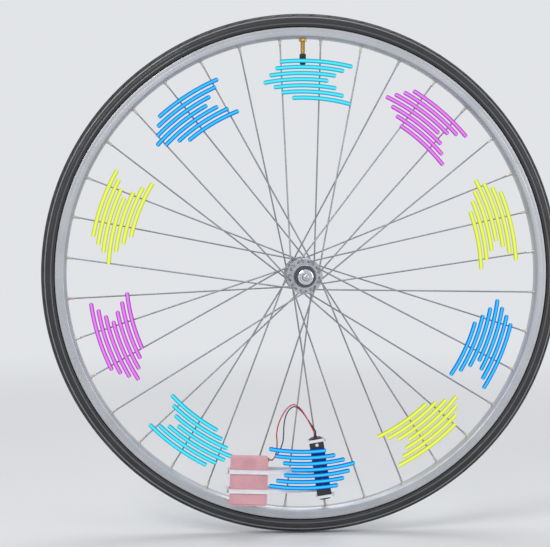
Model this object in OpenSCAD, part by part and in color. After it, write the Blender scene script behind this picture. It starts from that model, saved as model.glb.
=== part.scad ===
// Spoke wheel light: a battery box and a bar of seven light-emitting diodes strapped to the
// spokes of a bicycle's front wheel, which swings them round so that they draw in the air.
// Millimetres. The origin is the wheel's centre, the axle lies along Y and +Z is up. The light
// hangs at the bottom of the wheel, on the -Y side. Angles round the wheel start straight
// down and grow towards +X.

/* [Rim and tyre] */
// Radius at which the tyre's beads seat
bead_r = 311; // [300:1:320]
// Width of the tyre
tyre_w = 25; // [23:1:32]
// Thickness of the tyre's casing
casing_t = 1.6; // [1.2:0.1:2.2]
// Extra rubber under the tread
tread_t = 0.8; // [0.4:0.1:1.6]
// Outside width of the rim
rim_w = 19.5; // [18.5:0.5:23]
// Thickness of the rim's walls
rim_wall = 1.8; // [1.4:0.1:2.2]
// Depth of the rim below the bead seat
rim_depth = 8; // [8:0.5:16]
// Height of the rim's edges above the bead seat
rim_edge = 6; // [5:0.5:7]
// Length of the valve stem below the rim
valve_l = 32; // [20:1:50]

/* [Spokes] */
// Diameter of a spoke
spoke_d = 2; // [1.8:0.1:2.2]
// Diameter of a spoke's head
head_d = 3.8; // [3.2:0.1:4.4]
// Diameter of a nipple
nipple_d = 4; // [3.6:0.1:4.4]
// Length of a nipple below the rim
nipple_l = 8; // [6:0.5:12]

/* [Hub and axle] */
// Radius of the circle of spoke holes
hole_circle_r = 19; // [18:0.5:22]
// Radius of a hub flange
flange_r = 23; // [22:0.5:26]
// Thickness of a hub flange
flange_t = 3; // [2.6:0.2:3.6]
// Distance from a locknut's face in to the middle of its flange
flange_inset = 15; // [14:0.5:18]
// Radius of the hub's barrel
barrel_r = 10; // [9:0.5:12]
// Width over the locknuts, between the fork ends
hub_w = 100; // [98:1:112]
// Diameter of the axle
axle_d = 9; // [8:0.5:10]
// Length of the axle
axle_l = 144; // [140:2:170]
// Thickness of the fork end that each nut clamps
fork_t = 6; // [4:0.5:8]
// Radius of a bearing ball
ball_r = 2.4; // [2.2:0.1:2.6]

/* [Battery box] */
// Diameter of a cell
cell_d = 14.2; // [13.8:0.1:14.5]
// Length of a cell over its nub
cell_l = 50; // [48:0.5:51]
// Thickness of the box's floor and end walls
box_wall = 1.6; // [1.2:0.1:2.4]
// Thickness of the box's side walls, which hold the cover's grooves
side_wall = 2.4; // [2.2:0.1:3]
// Thickness of the sliding cover
cover_t = 1.6; // [1.2:0.1:2.2]
// Room for a contact at each end of the cells
contact_room = 4.4; // [3.6:0.2:6]

/* [Light bar] */
// Diameter of a light-emitting diode
led_d = 5; // [4.4:0.1:5.4]
// Distance from one diode to the next
led_pitch = 7.8; // [7:0.1:8.4]
// Height of a diode above its board
led_h = 8.8; // [8.2:0.1:10]
// Width of the bar
bar_w = 18; // [17:0.5:22]
// Thickness of the bar's walls
bar_wall = 1.5; // [1.2:0.1:2]
// Depth of the bar's back shell
back_d = 6; // [5.6:0.2:7]
// Depth of the bar's front shell
front_d = 6.2; // [5.8:0.2:6.8]
// Thickness of the circuit board
board_t = 1.6; // [1:0.1:2]
// Travel of the button
press = 0.6; // [0.3:0.1:0.8]

/* [Straps and leads] */
// Width of a box strap
strap_w = 5.4; // [4.4:0.2:7]
// Thickness of every strap
strap_t = 1.3; // [1:0.1:1.6]
// Width of a bar strap
small_strap_w = 3.6; // [2.6:0.2:4.2]
// Diameter of a lead
lead_d = 1.6; // [1.2:0.1:1.8]

/* [Place on the wheel] */
// Distance from the axle to the middle diode
led_mid_r = 249; // [240:1:252]
// Distance from the axle to the middle of the battery box
box_r = 272.4; // [255:0.2:276]
// Angle of the battery box round the wheel
box_angle = -15.1; // [-16:0.1:-13]
// Turn of the battery box from upright
box_turn = -2; // [-6:0.1:0]

/* [Hidden] */
$fn = 64;

// Small allowances between pieces
slip = 0.05;
gap = 0.15;
clear = 0.3;

// Rim and tyre
half_rim = rim_w / 2;
rim_in_r = bead_r - rim_depth;
edge_r = bead_r + rim_edge;
well_r = bead_r - 2;
well_half = 4.5;
floor_half = 5;
shoulder_h = 3;
well_t = 1.4;
well_slope = 1.6;
seat_t = 1.5;
cave_slope = 0.7;
cave_taper = 0.6;
cave_rise = 0.9;
tape_t = 0.8;
tyre_half = tyre_w / 2;
tyre_c = bead_r + tyre_half - 1;
casing_r = tyre_half - casing_t;
casing_c = tyre_c - tread_t;
fold_r = edge_r + clear + casing_t;
tyre_arc_n = 10;
wall_arc_n = 6;
crown_half = 4.9;
ridge_r = bead_r + 16.5;
ridge_h = 0.4;
ridge_turn = 2.4;
foot_half = half_rim - rim_wall - gap;
foot_in = 4.8;
tube_t = 0.9;
tube_r = casing_r - 3;
tube_c = casing_c + casing_r - clear - tube_r;
valve_r = 3;
valve_angle = 180;
valve_nut_h = 3.5;
valve_nut_t = 2;
valve_cap_l = 14;
valve_cap_t = 1.2;
valve_cap_top = 1.2;
valve_cap_bevel = 1;

// Spokes
spoke_r = spoke_d / 2;
side_count = 18;
pitch = 360 / side_count;
crossings = 3;
cross_angle = crossings * pitch;
rim_start = 5.6;
rim_offset = 1.5;
elbow_r = 2.4;
weld = 0.05;
head_t = 1.2;
hole_play = 0.25;
nipple_head_t = 1.6;
nipple_lip = 0.9;
nipple_head_d = nipple_d + 2 * nipple_lip;
nipple_seat = rim_wall + 0.55;
nipple_lap = 0.4;
thread_l = 3;
bore_over = 1;
nipple_play = 0.5;
bar_spoke = 0;
box_spoke = -1;

// Hub and axle
axle_r = axle_d / 2;
flange_span = hub_w - 2 * flange_inset;
flange_in = (flange_span - flange_t) / 2;
flange_out = (flange_span + flange_t) / 2;
cone_t = 1.6;
cone_nose_r = axle_r + cone_t;
ball_play = 0.22;
ball_ring_r = cone_nose_r + ball_play + ball_r;
ball_count = 9;
cup_r = ball_ring_r + ball_r + ball_play;
cup_wall = 3.2;
bore_play = 2.2;
hub_bore_r = axle_r + bore_play;
floor_inset = 1;
cup_floor = flange_in + floor_inset;
waist_l = 9;
cup_proud = 5.5;
hub_bevel = 0.5;
cup_end = flange_out + cup_proud;
ball_y = cup_floor + ball_r + ball_play;
shoulder_t = 1.5;
shoulder_r = cone_nose_r + shoulder_t;
lock_stack = 5;
cone_end = hub_w / 2 - lock_stack;
cap_lip = 0.7;
cap_seat = 1.6;
cap_inset = 0.6;
flats_start = cup_end + 2 * cap_lip;
lock_washer_t = 1;
nut_start = hub_w / 2 + fork_t;
serrated_t = 1.5;
nut_flange_t = 1.5;
nut_h = 6;
nut_bevel = 0.7;
cone_hex_r = 8.6;
locknut_r = 9.8;
axle_nut_r = 8.7;
serrated_r = 9.6;

// Battery box
cell_play = 0.3;
cell_count = 3;
cell_step = cell_d + cell_play;
box_w = cell_count * cell_step + 2 * side_wall;
box_l = cell_l + 2 * contact_room + 2 * box_wall;
cover_sink = 0.5;
box_corner = 3;
cut_over = 1;
groove = 1.2;
box_d = box_wall + cell_d + 2 * cell_play + cover_t + cover_sink;
box_half = box_w / 2;
box_front = -box_d;
cover_low = cover_sink + cover_t;
grip_count = 5;
grip_step = 2;
grip_h = 0.4;
grip_place = 3;
grip_root = 0.2;
cradle_t = 3;
nub_h = 1.2;
nub_d = 5.4;
button_d = 4;
contact_t = 0.5;
contact_w = 9;
spring_w = 10;
strap_place = 12.5;
rib_t = 8;
rib_w = 12;
rib_grip = 0.4;
grommet_r = 2.3;
bar_grommet_r = 2.1;
grommet_lip = 1;
grommet_edge = 0.5;
lead_r = lead_d / 2;
lead_step = 2.2;
box_lead_y = -8.5;
box_lead_z = box_l / 2 - box_wall - contact_room / 2;

// Light bar
led_count = 7;
led_row = (led_count - 1) * led_pitch;
bar_end = 16.6;
bar_in = led_row / 2 + bar_end;
bar_out = bar_in;
bar_l = bar_in + bar_out;
bar_mid = (bar_in - bar_out) / 2;
corner_r = 5;
seal_t = 0.8;
seal_w = 1.1;
bar_d = back_d + seal_t + front_d;
board_sink = 0.2;
board_back = back_d - board_t - board_sink;
board_front = board_back + board_t;
board_w = bar_w - 2 * bar_wall - 2 * gap;
board_end = 4.8;
ledge_w = 1;
boss_r = 1.9;
screw_r = 0.9;
screw_head_r = 1.6;
screw_head_t = 1.2;
screw_edge = 1.6;
screw_x = bar_w / 2 - bar_wall - screw_edge;
screw_end = 9.2;
screw_in = bar_in - screw_end;
screw_out = bar_out - screw_end;
button_step = 7.6;
button_z = led_row / 2 + button_step;
button_r = 2.2;
button_proud = 0.9;
button_lip = 0.7;
switch_w = 6;
bar_lead_y = -3.1;
bar_lead_step = 2;
bar_rib_t = 7;
bar_rib_w = 7;
bar_rib_z = [bar_in - 9, -16];
small_strap_z = [bar_in - small_strap_w, small_strap_w - bar_out];
seal_inset = 0.2;
hood = 0.9;
hood_t = 1.1;
diode_foot = 0.4;
diode_foot_h = 1;
switch_gap = 0.2;
big_head = [5, 7.4, 8];
small_head = [4, 5.2, 5.4];
chip = [6, 1.7, 9];
chip_z = 4;
motion_r = 1.4;
motion_l = 9;
motion_edge = 0.6;
motion_z = 3 - led_row / 2;
resistor = [1.4, 0.8, 2.4];
big_tail = 5;
small_tail = 3;
tail_share = 0.66;
head_bevel = 1;

// Hand-set middle points of each lead's loop: X, Y, Z
red_route = [
  [-40.5, -23.5, -236.5], [-37, -22.5, -231.5], [-35, -22, -224], [-34.5, -23, -214], [-35, -24, -203],
  [-33, -25, -191], [-28, -26, -179], [-21, -26, -169], [-13, -26, -165], [-5, -25, -170],
  [2, -24, -180], [8, -22, -191], [13, -18.5, -201]
];
black_route = [
  [-40.5, -21.5, -236.5], [-35.5, -20.5, -231.5], [-31, -20, -225], [-27, -20.5, -214], [-26, -21.5, -203],
  [-25.5, -22.5, -191], [-23, -23.5, -179], [-18, -23.5, -171], [-11.5, -23.5, -168], [-4, -22.5, -173],
  [3, -21.5, -182], [9, -20.5, -191], [15, -18, -200.5]
];
route_steps = 2;
lead_sides = 8;

// Points and lines on the wheel
function polar(r, a) = [r * sin(a), -r * cos(a)];
function both(half) = concat(half, [for (i = [len(half) - 1:-1:0]) [half[i].x, -half[i].y]]);

// Each spoke of a side, by its number: where it leaves the hub, where it meets the rim and how
function rim_angle(side, j) = rim_start + (side < 0 ? 0 : pitch / 2) + pitch * j;
function lean(j) = j % 2 == 0 ? 1 : -1;
function face(j) = -lean(j);
function hub_point(side, j) = polar(hole_circle_r, rim_angle(side, j) - lean(j) * cross_angle);
function rim_point(side, j) = polar(rim_in_r, rim_angle(side, j));
function run(side, j) = norm(rim_point(side, j) - hub_point(side, j));
function heading(side, j) = (rim_point(side, j) - hub_point(side, j)) / run(side, j);
function exit_sign(side, j) = side * face(j);
function start_y(side, j) = side * (flange_span + face(j) * flange_t) / 2;
function rise(side, j) = exit_sign(side, j) * (side * rim_offset - start_y(side, j));
function bend(side, j) =
  let (a = run(side, j) - elbow_r, b = rise(side, j))
  acos(-elbow_r / norm([a, b])) - atan2(b, a);
function bend_end(side, j) = elbow_r * [1 - cos(bend(side, j)), sin(bend(side, j))];
function straight(side, j) = norm([run(side, j), rise(side, j)] - bend_end(side, j));
function spoke_y(side, j, s) =
  let (e = bend_end(side, j), k = (s - e.x) / (run(side, j) - e.x))
  start_y(side, j) + exit_sign(side, j) * (e.y + k * (rise(side, j) - e.y));
function reach(side, j, r) =
  let (h = hub_point(side, j), along = h * heading(side, j))
  sqrt(r * r - h * h + along * along) - along;
function spoke_xz(side, j, s) = hub_point(side, j) + s * heading(side, j);

// The light bar lies along its spoke and the battery box across its own
bar_s = reach(-1, bar_spoke, led_mid_r);
bar_xz = spoke_xz(-1, bar_spoke, bar_s);
bar_turn = atan2(heading(-1, bar_spoke).x, -heading(-1, bar_spoke).y);
function bar_spoke_y(z) = spoke_y(-1, bar_spoke, bar_s - z);
unit_y = bar_spoke_y(bar_in) - spoke_r - clear;
bar_y = unit_y - 1;
box_xz = polar(box_r, box_angle);
box_u = [cos(box_turn), sin(box_turn)];
box_n = [-sin(box_turn), cos(box_turn)];

// Where a spoke crosses a line across the box: distance along the line, and depth
function box_cross_s(j, z) =
  (z - (hub_point(-1, j) - box_xz) * box_n) / (heading(-1, j) * box_n);
function box_cross_u(j, z) = (spoke_xz(-1, j, box_cross_s(j, z)) - box_xz) * box_u;
function box_cross_y(j, z) = spoke_y(-1, j, box_cross_s(j, z)) - unit_y;

// A closed outline moved outwards by d, for a strap of even thickness
function unit(v) = v / norm(v);
function left_of(v) = [-v.y, v.x];
function moved(p, d) = [
  for (i = [0:len(p) - 1])
    let (
      a = unit(p[i] - p[(i + len(p) - 1) % len(p)]),
      b = unit(p[(i + 1) % len(p)] - p[i]),
      m = left_of(a) + left_of(b)
    )
    p[i] - m * 2 * d / (m * m)
];

// A smooth curve through the route's points, and a round tube swept along it
function between(p, i, t) =
  let (
    a = p[max(i - 1, 0)],
    b = p[i],
    c = p[min(i + 1, len(p) - 1)],
    d = p[min(i + 2, len(p) - 1)]
  )
  0.5 * (2 * b + t * (c - a) + t * t * (2 * a - 5 * b + 4 * c - d) + t * t * t * (3 * b - a - 3 * c + d));
function smooth(p) = concat(
  [for (i = [0:len(p) - 2]) for (k = [0:route_steps - 1]) between(p, i, k / route_steps)],
  [p[len(p) - 1]]
);
function ring_at(p, i, r, sides) =
  let (
    t = unit(p[min(i + 1, len(p) - 1)] - p[max(i - 1, 0)]),
    n = unit([0, 1, 0] - t.y * t),
    b = cross(t, n)
  )
  [for (k = [0:sides - 1]) p[i] + r * (cos(360 * k / sides) * n + sin(360 * k / sides) * b)];
module tube(p, r, sides) {
  rings = [for (i = [0:len(p) - 1]) each ring_at(p, i, r, sides)];
  last = len(rings) - sides;
  walls = [
    for (i = [0:len(p) - 2]) for (k = [0:sides - 1])
      let (
        a = i * sides + k,
        b = i * sides + (k + 1) % sides
      )
      each [[a, b, a + sides], [b, b + sides, a + sides]]
  ];
  caps = [for (k = [1:sides - 2]) each [[0, k + 1, k], [last, last + k, last + k + 1]]];
  polyhedron(points = rings, faces = [for (f = concat(walls, caps)) [f[0], f[2], f[1]]]);
}

// Places
module on_axle() { rotate([90, 0, 0]) children(); }
module on_side(side) { if (side < 0) on_axle() children(); else rotate([-90, 0, 0]) children(); }
module at_angle(a) { rotate([0, -a, 0]) children(); }
module on_box() { translate([box_xz.x, unit_y, box_xz.y]) rotate([0, -box_turn, 0]) children(); }
module on_bar() { translate([bar_xz.x, bar_y, bar_xz.y]) rotate([0, -bar_turn, 0]) children(); }
module spin() { rotate_extrude() children(); }
module hexagon(r, h) { cylinder(r = r, h = h, $fn = 6); }
module nut_blank(r, h) {
  intersection() {
    hexagon(r, h);
    spin() polygon([[0, 0], [r, 0], [r, h - nut_bevel], [r - 2 * nut_bevel, h], [0, h]]);
  }
}
module out_from(y) { translate([0, y, 0]) rotate([90, 0, 0]) children(); }

// Axle, cones, nuts and washers
module axle() { color("silver") on_axle() cylinder(d = axle_d, h = axle_l, center = true); }
module axle_hole(h) { translate([0, 0, -h]) cylinder(r = axle_r + slip, h = 3 * h); }
module cone(side) {
  color("dimgray") on_side(side) difference() {
    union() {
      translate([0, 0, cup_floor + clear]) cylinder(r = cone_nose_r, h = cone_end - cup_floor - clear);
      translate([0, 0, ball_y + ball_r + ball_play])
        cylinder(r = shoulder_r, h = cone_end - ball_y - ball_r - ball_play);
      translate([0, 0, flats_start]) hexagon(cone_hex_r, cone_end - flats_start);
    }
    axle_hole(hub_w);
  }
}
module left_cone() { cone(-1); }
module right_cone() { cone(1); }
module lock_washers() {
  color("lightgray") for (side = [-1, 1]) on_side(side) translate([0, 0, cone_end]) difference() {
    cylinder(r = cone_hex_r, h = lock_washer_t);
    axle_hole(hub_w);
  }
}
module locknut(side) {
  color("gainsboro") on_side(side) translate([0, 0, cone_end + lock_washer_t]) difference() {
    nut_blank(locknut_r, hub_w / 2 - cone_end - lock_washer_t);
    axle_hole(hub_w);
  }
}
module left_locknut() { locknut(-1); }
module right_locknut() { locknut(1); }
module serrated_washers() {
  color("lightgray") for (side = [-1, 1]) on_side(side) translate([0, 0, nut_start]) difference() {
    cylinder(r = serrated_r, h = serrated_t);
    axle_hole(hub_w);
  }
}
module axle_nut(side) {
  color("whitesmoke") on_side(side) translate([0, 0, nut_start + serrated_t]) difference() {
    union() {
      cylinder(r = serrated_r, h = nut_flange_t);
      nut_blank(axle_nut_r, nut_flange_t + nut_h);
    }
    axle_hole(hub_w);
  }
}
module left_axle_nut() { axle_nut(-1); }
module right_axle_nut() { axle_nut(1); }

// Bearings and hub
module bearing_balls(side) {
  color("white") on_side(side) translate([0, 0, ball_y])
    for (k = [0:ball_count - 1]) rotate([0, 0, 360 * k / ball_count])
      translate([ball_ring_r, 0, 0]) sphere(r = ball_r);
}
module left_bearing_balls() { bearing_balls(-1); }
module right_bearing_balls() { bearing_balls(1); }
module hub_profile() {
  cup_out = cup_r + cup_wall;
  waist = flange_in - waist_l;
  polygon(both([
    [hub_bore_r, cup_floor], [cup_r, cup_floor], [cup_r, cup_end],
    [cup_out - hub_bevel, cup_end], [cup_out, cup_end - hub_bevel], [cup_out, flange_out],
    [flange_r - hub_bevel, flange_out], [flange_r, flange_out - hub_bevel],
    [flange_r, flange_in + hub_bevel], [flange_r - hub_bevel, flange_in],
    [cup_out, flange_in], [barrel_r, waist]
  ]));
}
module hub_shell() {
  color("silver") difference() {
    on_axle() spin() hub_profile();
    for (side = [-1, 1]) for (j = [0:side_count - 1])
      translate([hub_point(side, j).x, side * flange_span / 2, hub_point(side, j).y])
        on_axle() cylinder(r = spoke_r + hole_play, h = 2 * flange_t, center = true);
  }
}
module dust_cap(side) {
  color("darkgray") on_side(side) difference() {
    union() {
      translate([0, 0, cup_end - cap_seat]) cylinder(r = cup_r - slip, h = cap_seat + cap_lip);
      translate([0, 0, cup_end]) cylinder(r = cup_r + cup_wall - cap_inset, h = cap_lip);
    }
    cylinder(r = shoulder_r + clear, h = hub_w);
  }
}
module left_dust_cap() { dust_cap(-1); }
module right_dust_cap() { dust_cap(1); }

// Spokes and nipples
module on_spoke(side, j) {
  h = hub_point(side, j);
  d = heading(side, j);
  translate([h.x, start_y(side, j), h.y]) rotate([0, atan2(-d.y, d.x), 0])
    rotate([exit_sign(side, j) < 0 ? 90 : -90, 0, 0]) children();
}
module along_spoke(side, j) {
  e = bend_end(side, j);
  on_spoke(side, j) translate([e.x, 0, e.y]) rotate([0, bend(side, j), 0]) children();
}
module spoke(side, j) {
  on_spoke(side, j) {
    translate([0, 0, -flange_t - head_t]) cylinder(d = head_d, h = head_t);
    translate([0, 0, -flange_t - head_t]) cylinder(d = spoke_d, h = flange_t + head_t);
    translate([elbow_r, 0, 0]) rotate([90, 0, 180])
      rotate_extrude(angle = bend(side, j)) translate([elbow_r, 0]) circle(d = spoke_d);
  }
  along_spoke(side, j) {
    sphere(r = spoke_r + weld);
    cylinder(d = spoke_d, h = straight(side, j) + thread_l);
  }
}
module spoke_group(side, first) { for (j = [first:2:side_count - 1]) spoke(side, j); }
module left_inner_spokes() { color("lightgray") spoke_group(-1, 0); }
module left_outer_spokes() { color("lightgray") spoke_group(-1, 1); }
module right_inner_spokes() { color("lightgray") spoke_group(1, 0); }
module right_outer_spokes() { color("lightgray") spoke_group(1, 1); }
module spoke_room(j) { along_spoke(-1, j) cylinder(r = spoke_r + gap, h = straight(-1, j)); }
module nipple(side, j) {
  along_spoke(side, j) translate([0, 0, straight(side, j) - nipple_l]) difference() {
    union() {
      cylinder(d = nipple_d, h = nipple_l + nipple_seat + nipple_lap);
      translate([0, 0, nipple_l + nipple_seat]) cylinder(d = nipple_head_d, h = nipple_head_t);
    }
    translate([0, 0, -bore_over])
      cylinder(r = spoke_r + slip, h = nipple_l + nipple_seat + nipple_head_t + 2 * bore_over);
  }
}
module nipples() {
  color("silver") for (side = [-1, 1]) for (j = [0:side_count - 1]) nipple(side, j);
}

// Rim, tape, tube and tyre
module rim_profile() {
  seat_half = half_rim - rim_wall;
  difference() {
    polygon(both([
      [rim_in_r, floor_half], [rim_in_r + shoulder_h, half_rim], [edge_r, half_rim], [edge_r, seat_half],
      [bead_r, seat_half], [bead_r, well_half + well_slope], [well_r, well_half]
    ]));
    polygon(both([
      [rim_in_r + rim_wall, floor_half - cave_taper], [rim_in_r + shoulder_h + cave_rise, seat_half],
      [bead_r - seat_t, seat_half], [bead_r - seat_t, well_half + well_slope + cave_slope],
      [well_r - well_t, well_half + cave_slope]
    ]));
  }
}
module rim_hole(a, y, r, from, to) {
  at_angle(a) translate([0, y, -to]) cylinder(r = r, h = to - from);
}
module rim() {
  color("silver") difference() {
    on_axle() spin() rim_profile();
    for (side = [-1, 1]) for (j = [0:side_count - 1]) {
      a = rim_angle(side, j);
      floor_hole_r = nipple_d / 2 + nipple_play;
      well_hole_r = nipple_head_d / 2 + nipple_play;
      rim_hole(a, side * rim_offset, floor_hole_r, rim_in_r - bore_over, rim_in_r + rim_wall + bore_over);
      rim_hole(a, side * rim_offset / 2, well_hole_r, well_r - well_t - bore_over, well_r + bore_over);
    }
    rim_hole(valve_angle, 0, valve_r + gap, rim_in_r - bore_over, well_r + bore_over);
  }
}
module rim_tape() {
  color("khaki") difference() {
    on_axle() spin() translate([well_r + slip, -well_half + gap]) square([tape_t, 2 * (well_half - gap)]);
    rim_hole(valve_angle, 0, valve_r + gap, well_r - bore_over, well_r + tape_t + 2 * bore_over);
  }
}
module inner_tube() {
  color("dimgray") on_axle() spin() translate([tube_c, 0]) difference() {
    circle(r = tube_r);
    circle(r = tube_r - tube_t);
  }
}
function arc(r, centre, from, to, steps) = [
  for (i = [0:steps])
    let (a = from + (to - from) * i / steps)
    [centre + r * cos(a), r * sin(a)]
];
function backwards(list) = [for (i = [len(list) - 1:-1:0]) list[i]];
function tyre_half_outline() =
  let (
    ridge = acos((ridge_r - tyre_c) / tyre_half),
    end = acos((edge_r + clear - tyre_c) / tyre_half),
    inner_end = acos((fold_r - casing_c) / casing_r)
  )
  concat(
    arc(tyre_half, tyre_c, crown_half, ridge - ridge_turn, tyre_arc_n),
    arc(tyre_half + ridge_h, tyre_c, ridge - ridge_turn / 3, ridge + ridge_turn / 3, 1),
    arc(tyre_half, tyre_c, ridge + ridge_turn, end, wall_arc_n),
    [
      [edge_r + clear, foot_half], [bead_r + slip, foot_half], [bead_r + slip, foot_in],
      [edge_r, foot_half - casing_t], [fold_r, foot_half - casing_t / 2]
    ],
    backwards(arc(casing_r, casing_c, crown_half, inner_end, tyre_arc_n))
  );
module tyre() { color("#26262a") on_axle() spin() polygon(both(tyre_half_outline())); }

// Valve
module valve_stem() {
  color("goldenrod") at_angle(valve_angle) translate([0, 0, -(tube_c - tube_r - slip)])
    cylinder(r = valve_r, h = tube_c - tube_r - rim_in_r + valve_l);
}
module valve_nut() {
  color("goldenrod") at_angle(valve_angle) translate([0, 0, -rim_in_r + slip]) difference() {
    cylinder(r = valve_r + valve_nut_t, h = valve_nut_h);
    translate([0, 0, -bore_over]) cylinder(r = valve_r + slip, h = valve_nut_h + 2 * bore_over);
  }
}
module valve_cap() {
  start = valve_l + gap + valve_cap_top - valve_cap_l;
  cap_r = valve_r + valve_cap_t;
  color("black") at_angle(valve_angle) translate([0, 0, start - rim_in_r]) difference() {
    spin() polygon([
      [0, 0], [cap_r, 0], [cap_r, valve_cap_l - valve_cap_bevel],
      [cap_r - valve_cap_bevel, valve_cap_l], [0, valve_cap_l]
    ]);
    translate([0, 0, -bore_over])
      cylinder(r = valve_r + slip, h = valve_cap_l - valve_cap_top + bore_over);
  }
}

// Battery box, in its own frame: X across, -Y out of its front, Z towards the hub
module box_ribs() {
  for (z = [-strap_place, strap_place])
    translate([box_cross_u(box_spoke, z) - rib_w / 2, -box_wall, z - rib_t / 2])
      cube([rib_w, box_cross_y(box_spoke, z) + box_wall + rib_grip, rib_t]);
}
module box_walls() {
  inner_w = box_w - 2 * side_wall;
  inner_l = box_l - 2 * box_wall;
  difference() {
    out_from(0) linear_extrude(box_d) rounded(box_w, box_l, box_corner);
    translate([-inner_w / 2, box_front - cut_over, -inner_l / 2])
      cube([inner_w, box_d - box_wall + cut_over, inner_l]);
    translate([-inner_w / 2 - groove, box_front + cover_sink - gap, -inner_l / 2])
      cube([inner_w + 2 * groove, cover_t + 2 * gap, box_l]);
    translate([-inner_w / 2, box_front - cut_over, 0]) cube([inner_w, cover_low + gap + cut_over, box_l]);
    translate([box_half + cut_over, box_lead_y, box_lead_z]) rotate([0, -90, 0])
      cylinder(r = grommet_r, h = side_wall + 2 * cut_over);
  }
}
module cell_cradles() {
  for (z = [-cell_l / 4, cell_l / 4]) difference() {
    translate([-box_half + side_wall, -box_wall - cell_d / 3, z - cradle_t / 2])
      cube([box_w - 2 * side_wall, cell_d / 3, cradle_t]);
    for (k = [-1, 0, 1]) translate([k * cell_step, -box_wall - cell_play - cell_d / 2, z])
      cylinder(d = cell_d + cell_play, h = 2 * cradle_t, center = true);
  }
}
module box_base() {
  color("#d9a8ae") difference() {
    on_box() {
      box_walls();
      cell_cradles();
      box_ribs();
    }
    spoke_room(box_spoke);
  }
}
module box_cover() {
  plate_w = box_w - 2 * side_wall + 2 * groove - 2 * gap;
  plate_l = box_l - box_wall - gap;
  color("#dfb0b5") on_box() {
    translate([-plate_w / 2, box_front + cover_sink, box_l / 2 - plate_l])
      cube([plate_w, cover_t, plate_l - box_wall]);
    translate([-box_half + side_wall + gap, box_front + cover_sink, 0])
      cube([box_w - 2 * side_wall - 2 * gap, cover_t, box_l / 2]);
    for (k = [0:grip_count - 1])
      translate([-box_w / 6, box_front + cover_sink - grip_h, box_l / 2 - grip_place - k * grip_step])
        cube([box_w / 3, grip_h + grip_root, grip_step / 2]);
  }
}
module on_cell(k) {
  translate([k * cell_step, -box_wall - cell_play - cell_d / 2, 0])
    rotate([k == 0 ? 180 : 0, 0, 0]) children();
}
module cells() {
  color("#3c6ea8") on_box() for (k = [-1, 0, 1]) on_cell(k) {
    translate([0, 0, -cell_l / 2]) cylinder(d = cell_d, h = cell_l - nub_h);
    translate([0, 0, -cell_l / 2]) cylinder(d = nub_d, h = cell_l);
  }
}
module contact_springs() {
  wall = cell_l / 2 + contact_room - slip;
  tip = cell_l / 2 + slip;
  half = spring_w / 2;
  lift = spring_w / 8;
  color("gold") on_box() for (k = [-1, 0, 1]) on_cell(k) mirror([0, 0, 1]) rotate([90, 0, 90])
    linear_extrude(contact_w / 2, center = true) polygon([
      [-half, wall], [half, wall], [half, wall - contact_t], [contact_t - half + lift, wall - contact_t],
      [lift, tip + contact_t], [half - 2 * contact_t, tip + lift + contact_t],
      [half - contact_t, tip + lift], [lift, tip], [-half, wall - contact_t]
    ]);
}
module contact_plates() {
  z = cell_l / 2;
  wall = contact_room - slip;
  color("gold") on_box() for (k = [-1, 0, 1]) on_cell(k) {
    translate([-contact_w / 2, -contact_w / 2, z + wall - contact_t])
      cube([contact_w, contact_w, contact_t]);
    translate([0, 0, z + slip]) cylinder(d = button_d, h = wall - slip);
  }
}
module box_grommet() {
  color("#333338") on_box() difference() {
    union() {
      translate([box_half - side_wall, box_lead_y, box_lead_z]) rotate([0, 90, 0])
        cylinder(r = grommet_r - slip, h = side_wall);
      translate([box_half, box_lead_y, box_lead_z]) rotate([0, 90, 0])
        cylinder(r = grommet_r + grommet_edge, h = grommet_lip);
    }
    for (k = [-0.5, 0.5])
      translate([box_half - side_wall - cut_over, box_lead_y + k * lead_step, box_lead_z])
        rotate([0, 90, 0]) cylinder(r = lead_r + gap, h = side_wall + grommet_lip + 2 * cut_over);
  }
}

// Straps: an even band round an outline, with a ratchet head and a cut tail
module band(outline, w) {
  linear_extrude(w, center = true) difference() {
    polygon(moved(outline, strap_t));
    polygon(outline);
  }
}
module strap_head(size, tail) {
  tail_w = size.z * tail_share;
  half = size.y / 2;
  linear_extrude(size.z, center = true) polygon([
    [0, -half], [0, half], [head_bevel - size.x, half], [-size.x, half - head_bevel],
    [-size.x, head_bevel - half], [head_bevel - size.x, -half]
  ]);
  translate([-size.x / 2 - strap_t, -half - tail, -tail_w / 2])
    cube([strap_t, tail + cut_over, tail_w]);
}
function box_outline(z) =
  let (
    skew = strap_w / 2 * tan(bar_turn - box_turn),
    dip = strap_w / 2 * rise(-1, bar_spoke) / run(-1, bar_spoke),
    back = spoke_r + clear,
    ua = box_cross_u(box_spoke, z),
    ya = box_cross_y(box_spoke, z),
    ub = box_cross_u(bar_spoke, z) + skew,
    yb = box_cross_y(bar_spoke, z),
    low = yb - back - dip,
    high = yb + back + dip,
    side = box_half + gap
  )
  [
    [-side, box_front - gap], [side, box_front - gap], [ub - 2 * skew - back / 2, low],
    [ub + back / 2, low], [ub + back, yb], [ub + back / 2, high], [ua + rib_w / 2, ya + back + rib_grip],
    [ua, ya + back + rib_grip], [ua - rib_w / 2, ya + rib_grip + gap], [-side, gap]
  ];
module box_strap(z) {
  color("white") on_box() translate([0, 0, z]) {
    band(box_outline(z), strap_w);
    translate([-box_half - gap - strap_t / 2, box_front / 2, 0]) strap_head(big_head, big_tail);
  }
}
module inner_box_strap() { box_strap(strap_place); }
module outer_box_strap() { box_strap(-strap_place); }
function bar_outline(z) =
  let (
    back = spoke_r + clear,
    y = bar_spoke_y(z) - bar_y,
    side = bar_w / 2 + gap
  )
  [
    [-side, -bar_d - gap], [side, -bar_d - gap], [side, gap], [back, y + back / 3], [back / 2, y + back],
    [-back / 2, y + back], [-back, y + back / 3], [-side, gap]
  ];
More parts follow.
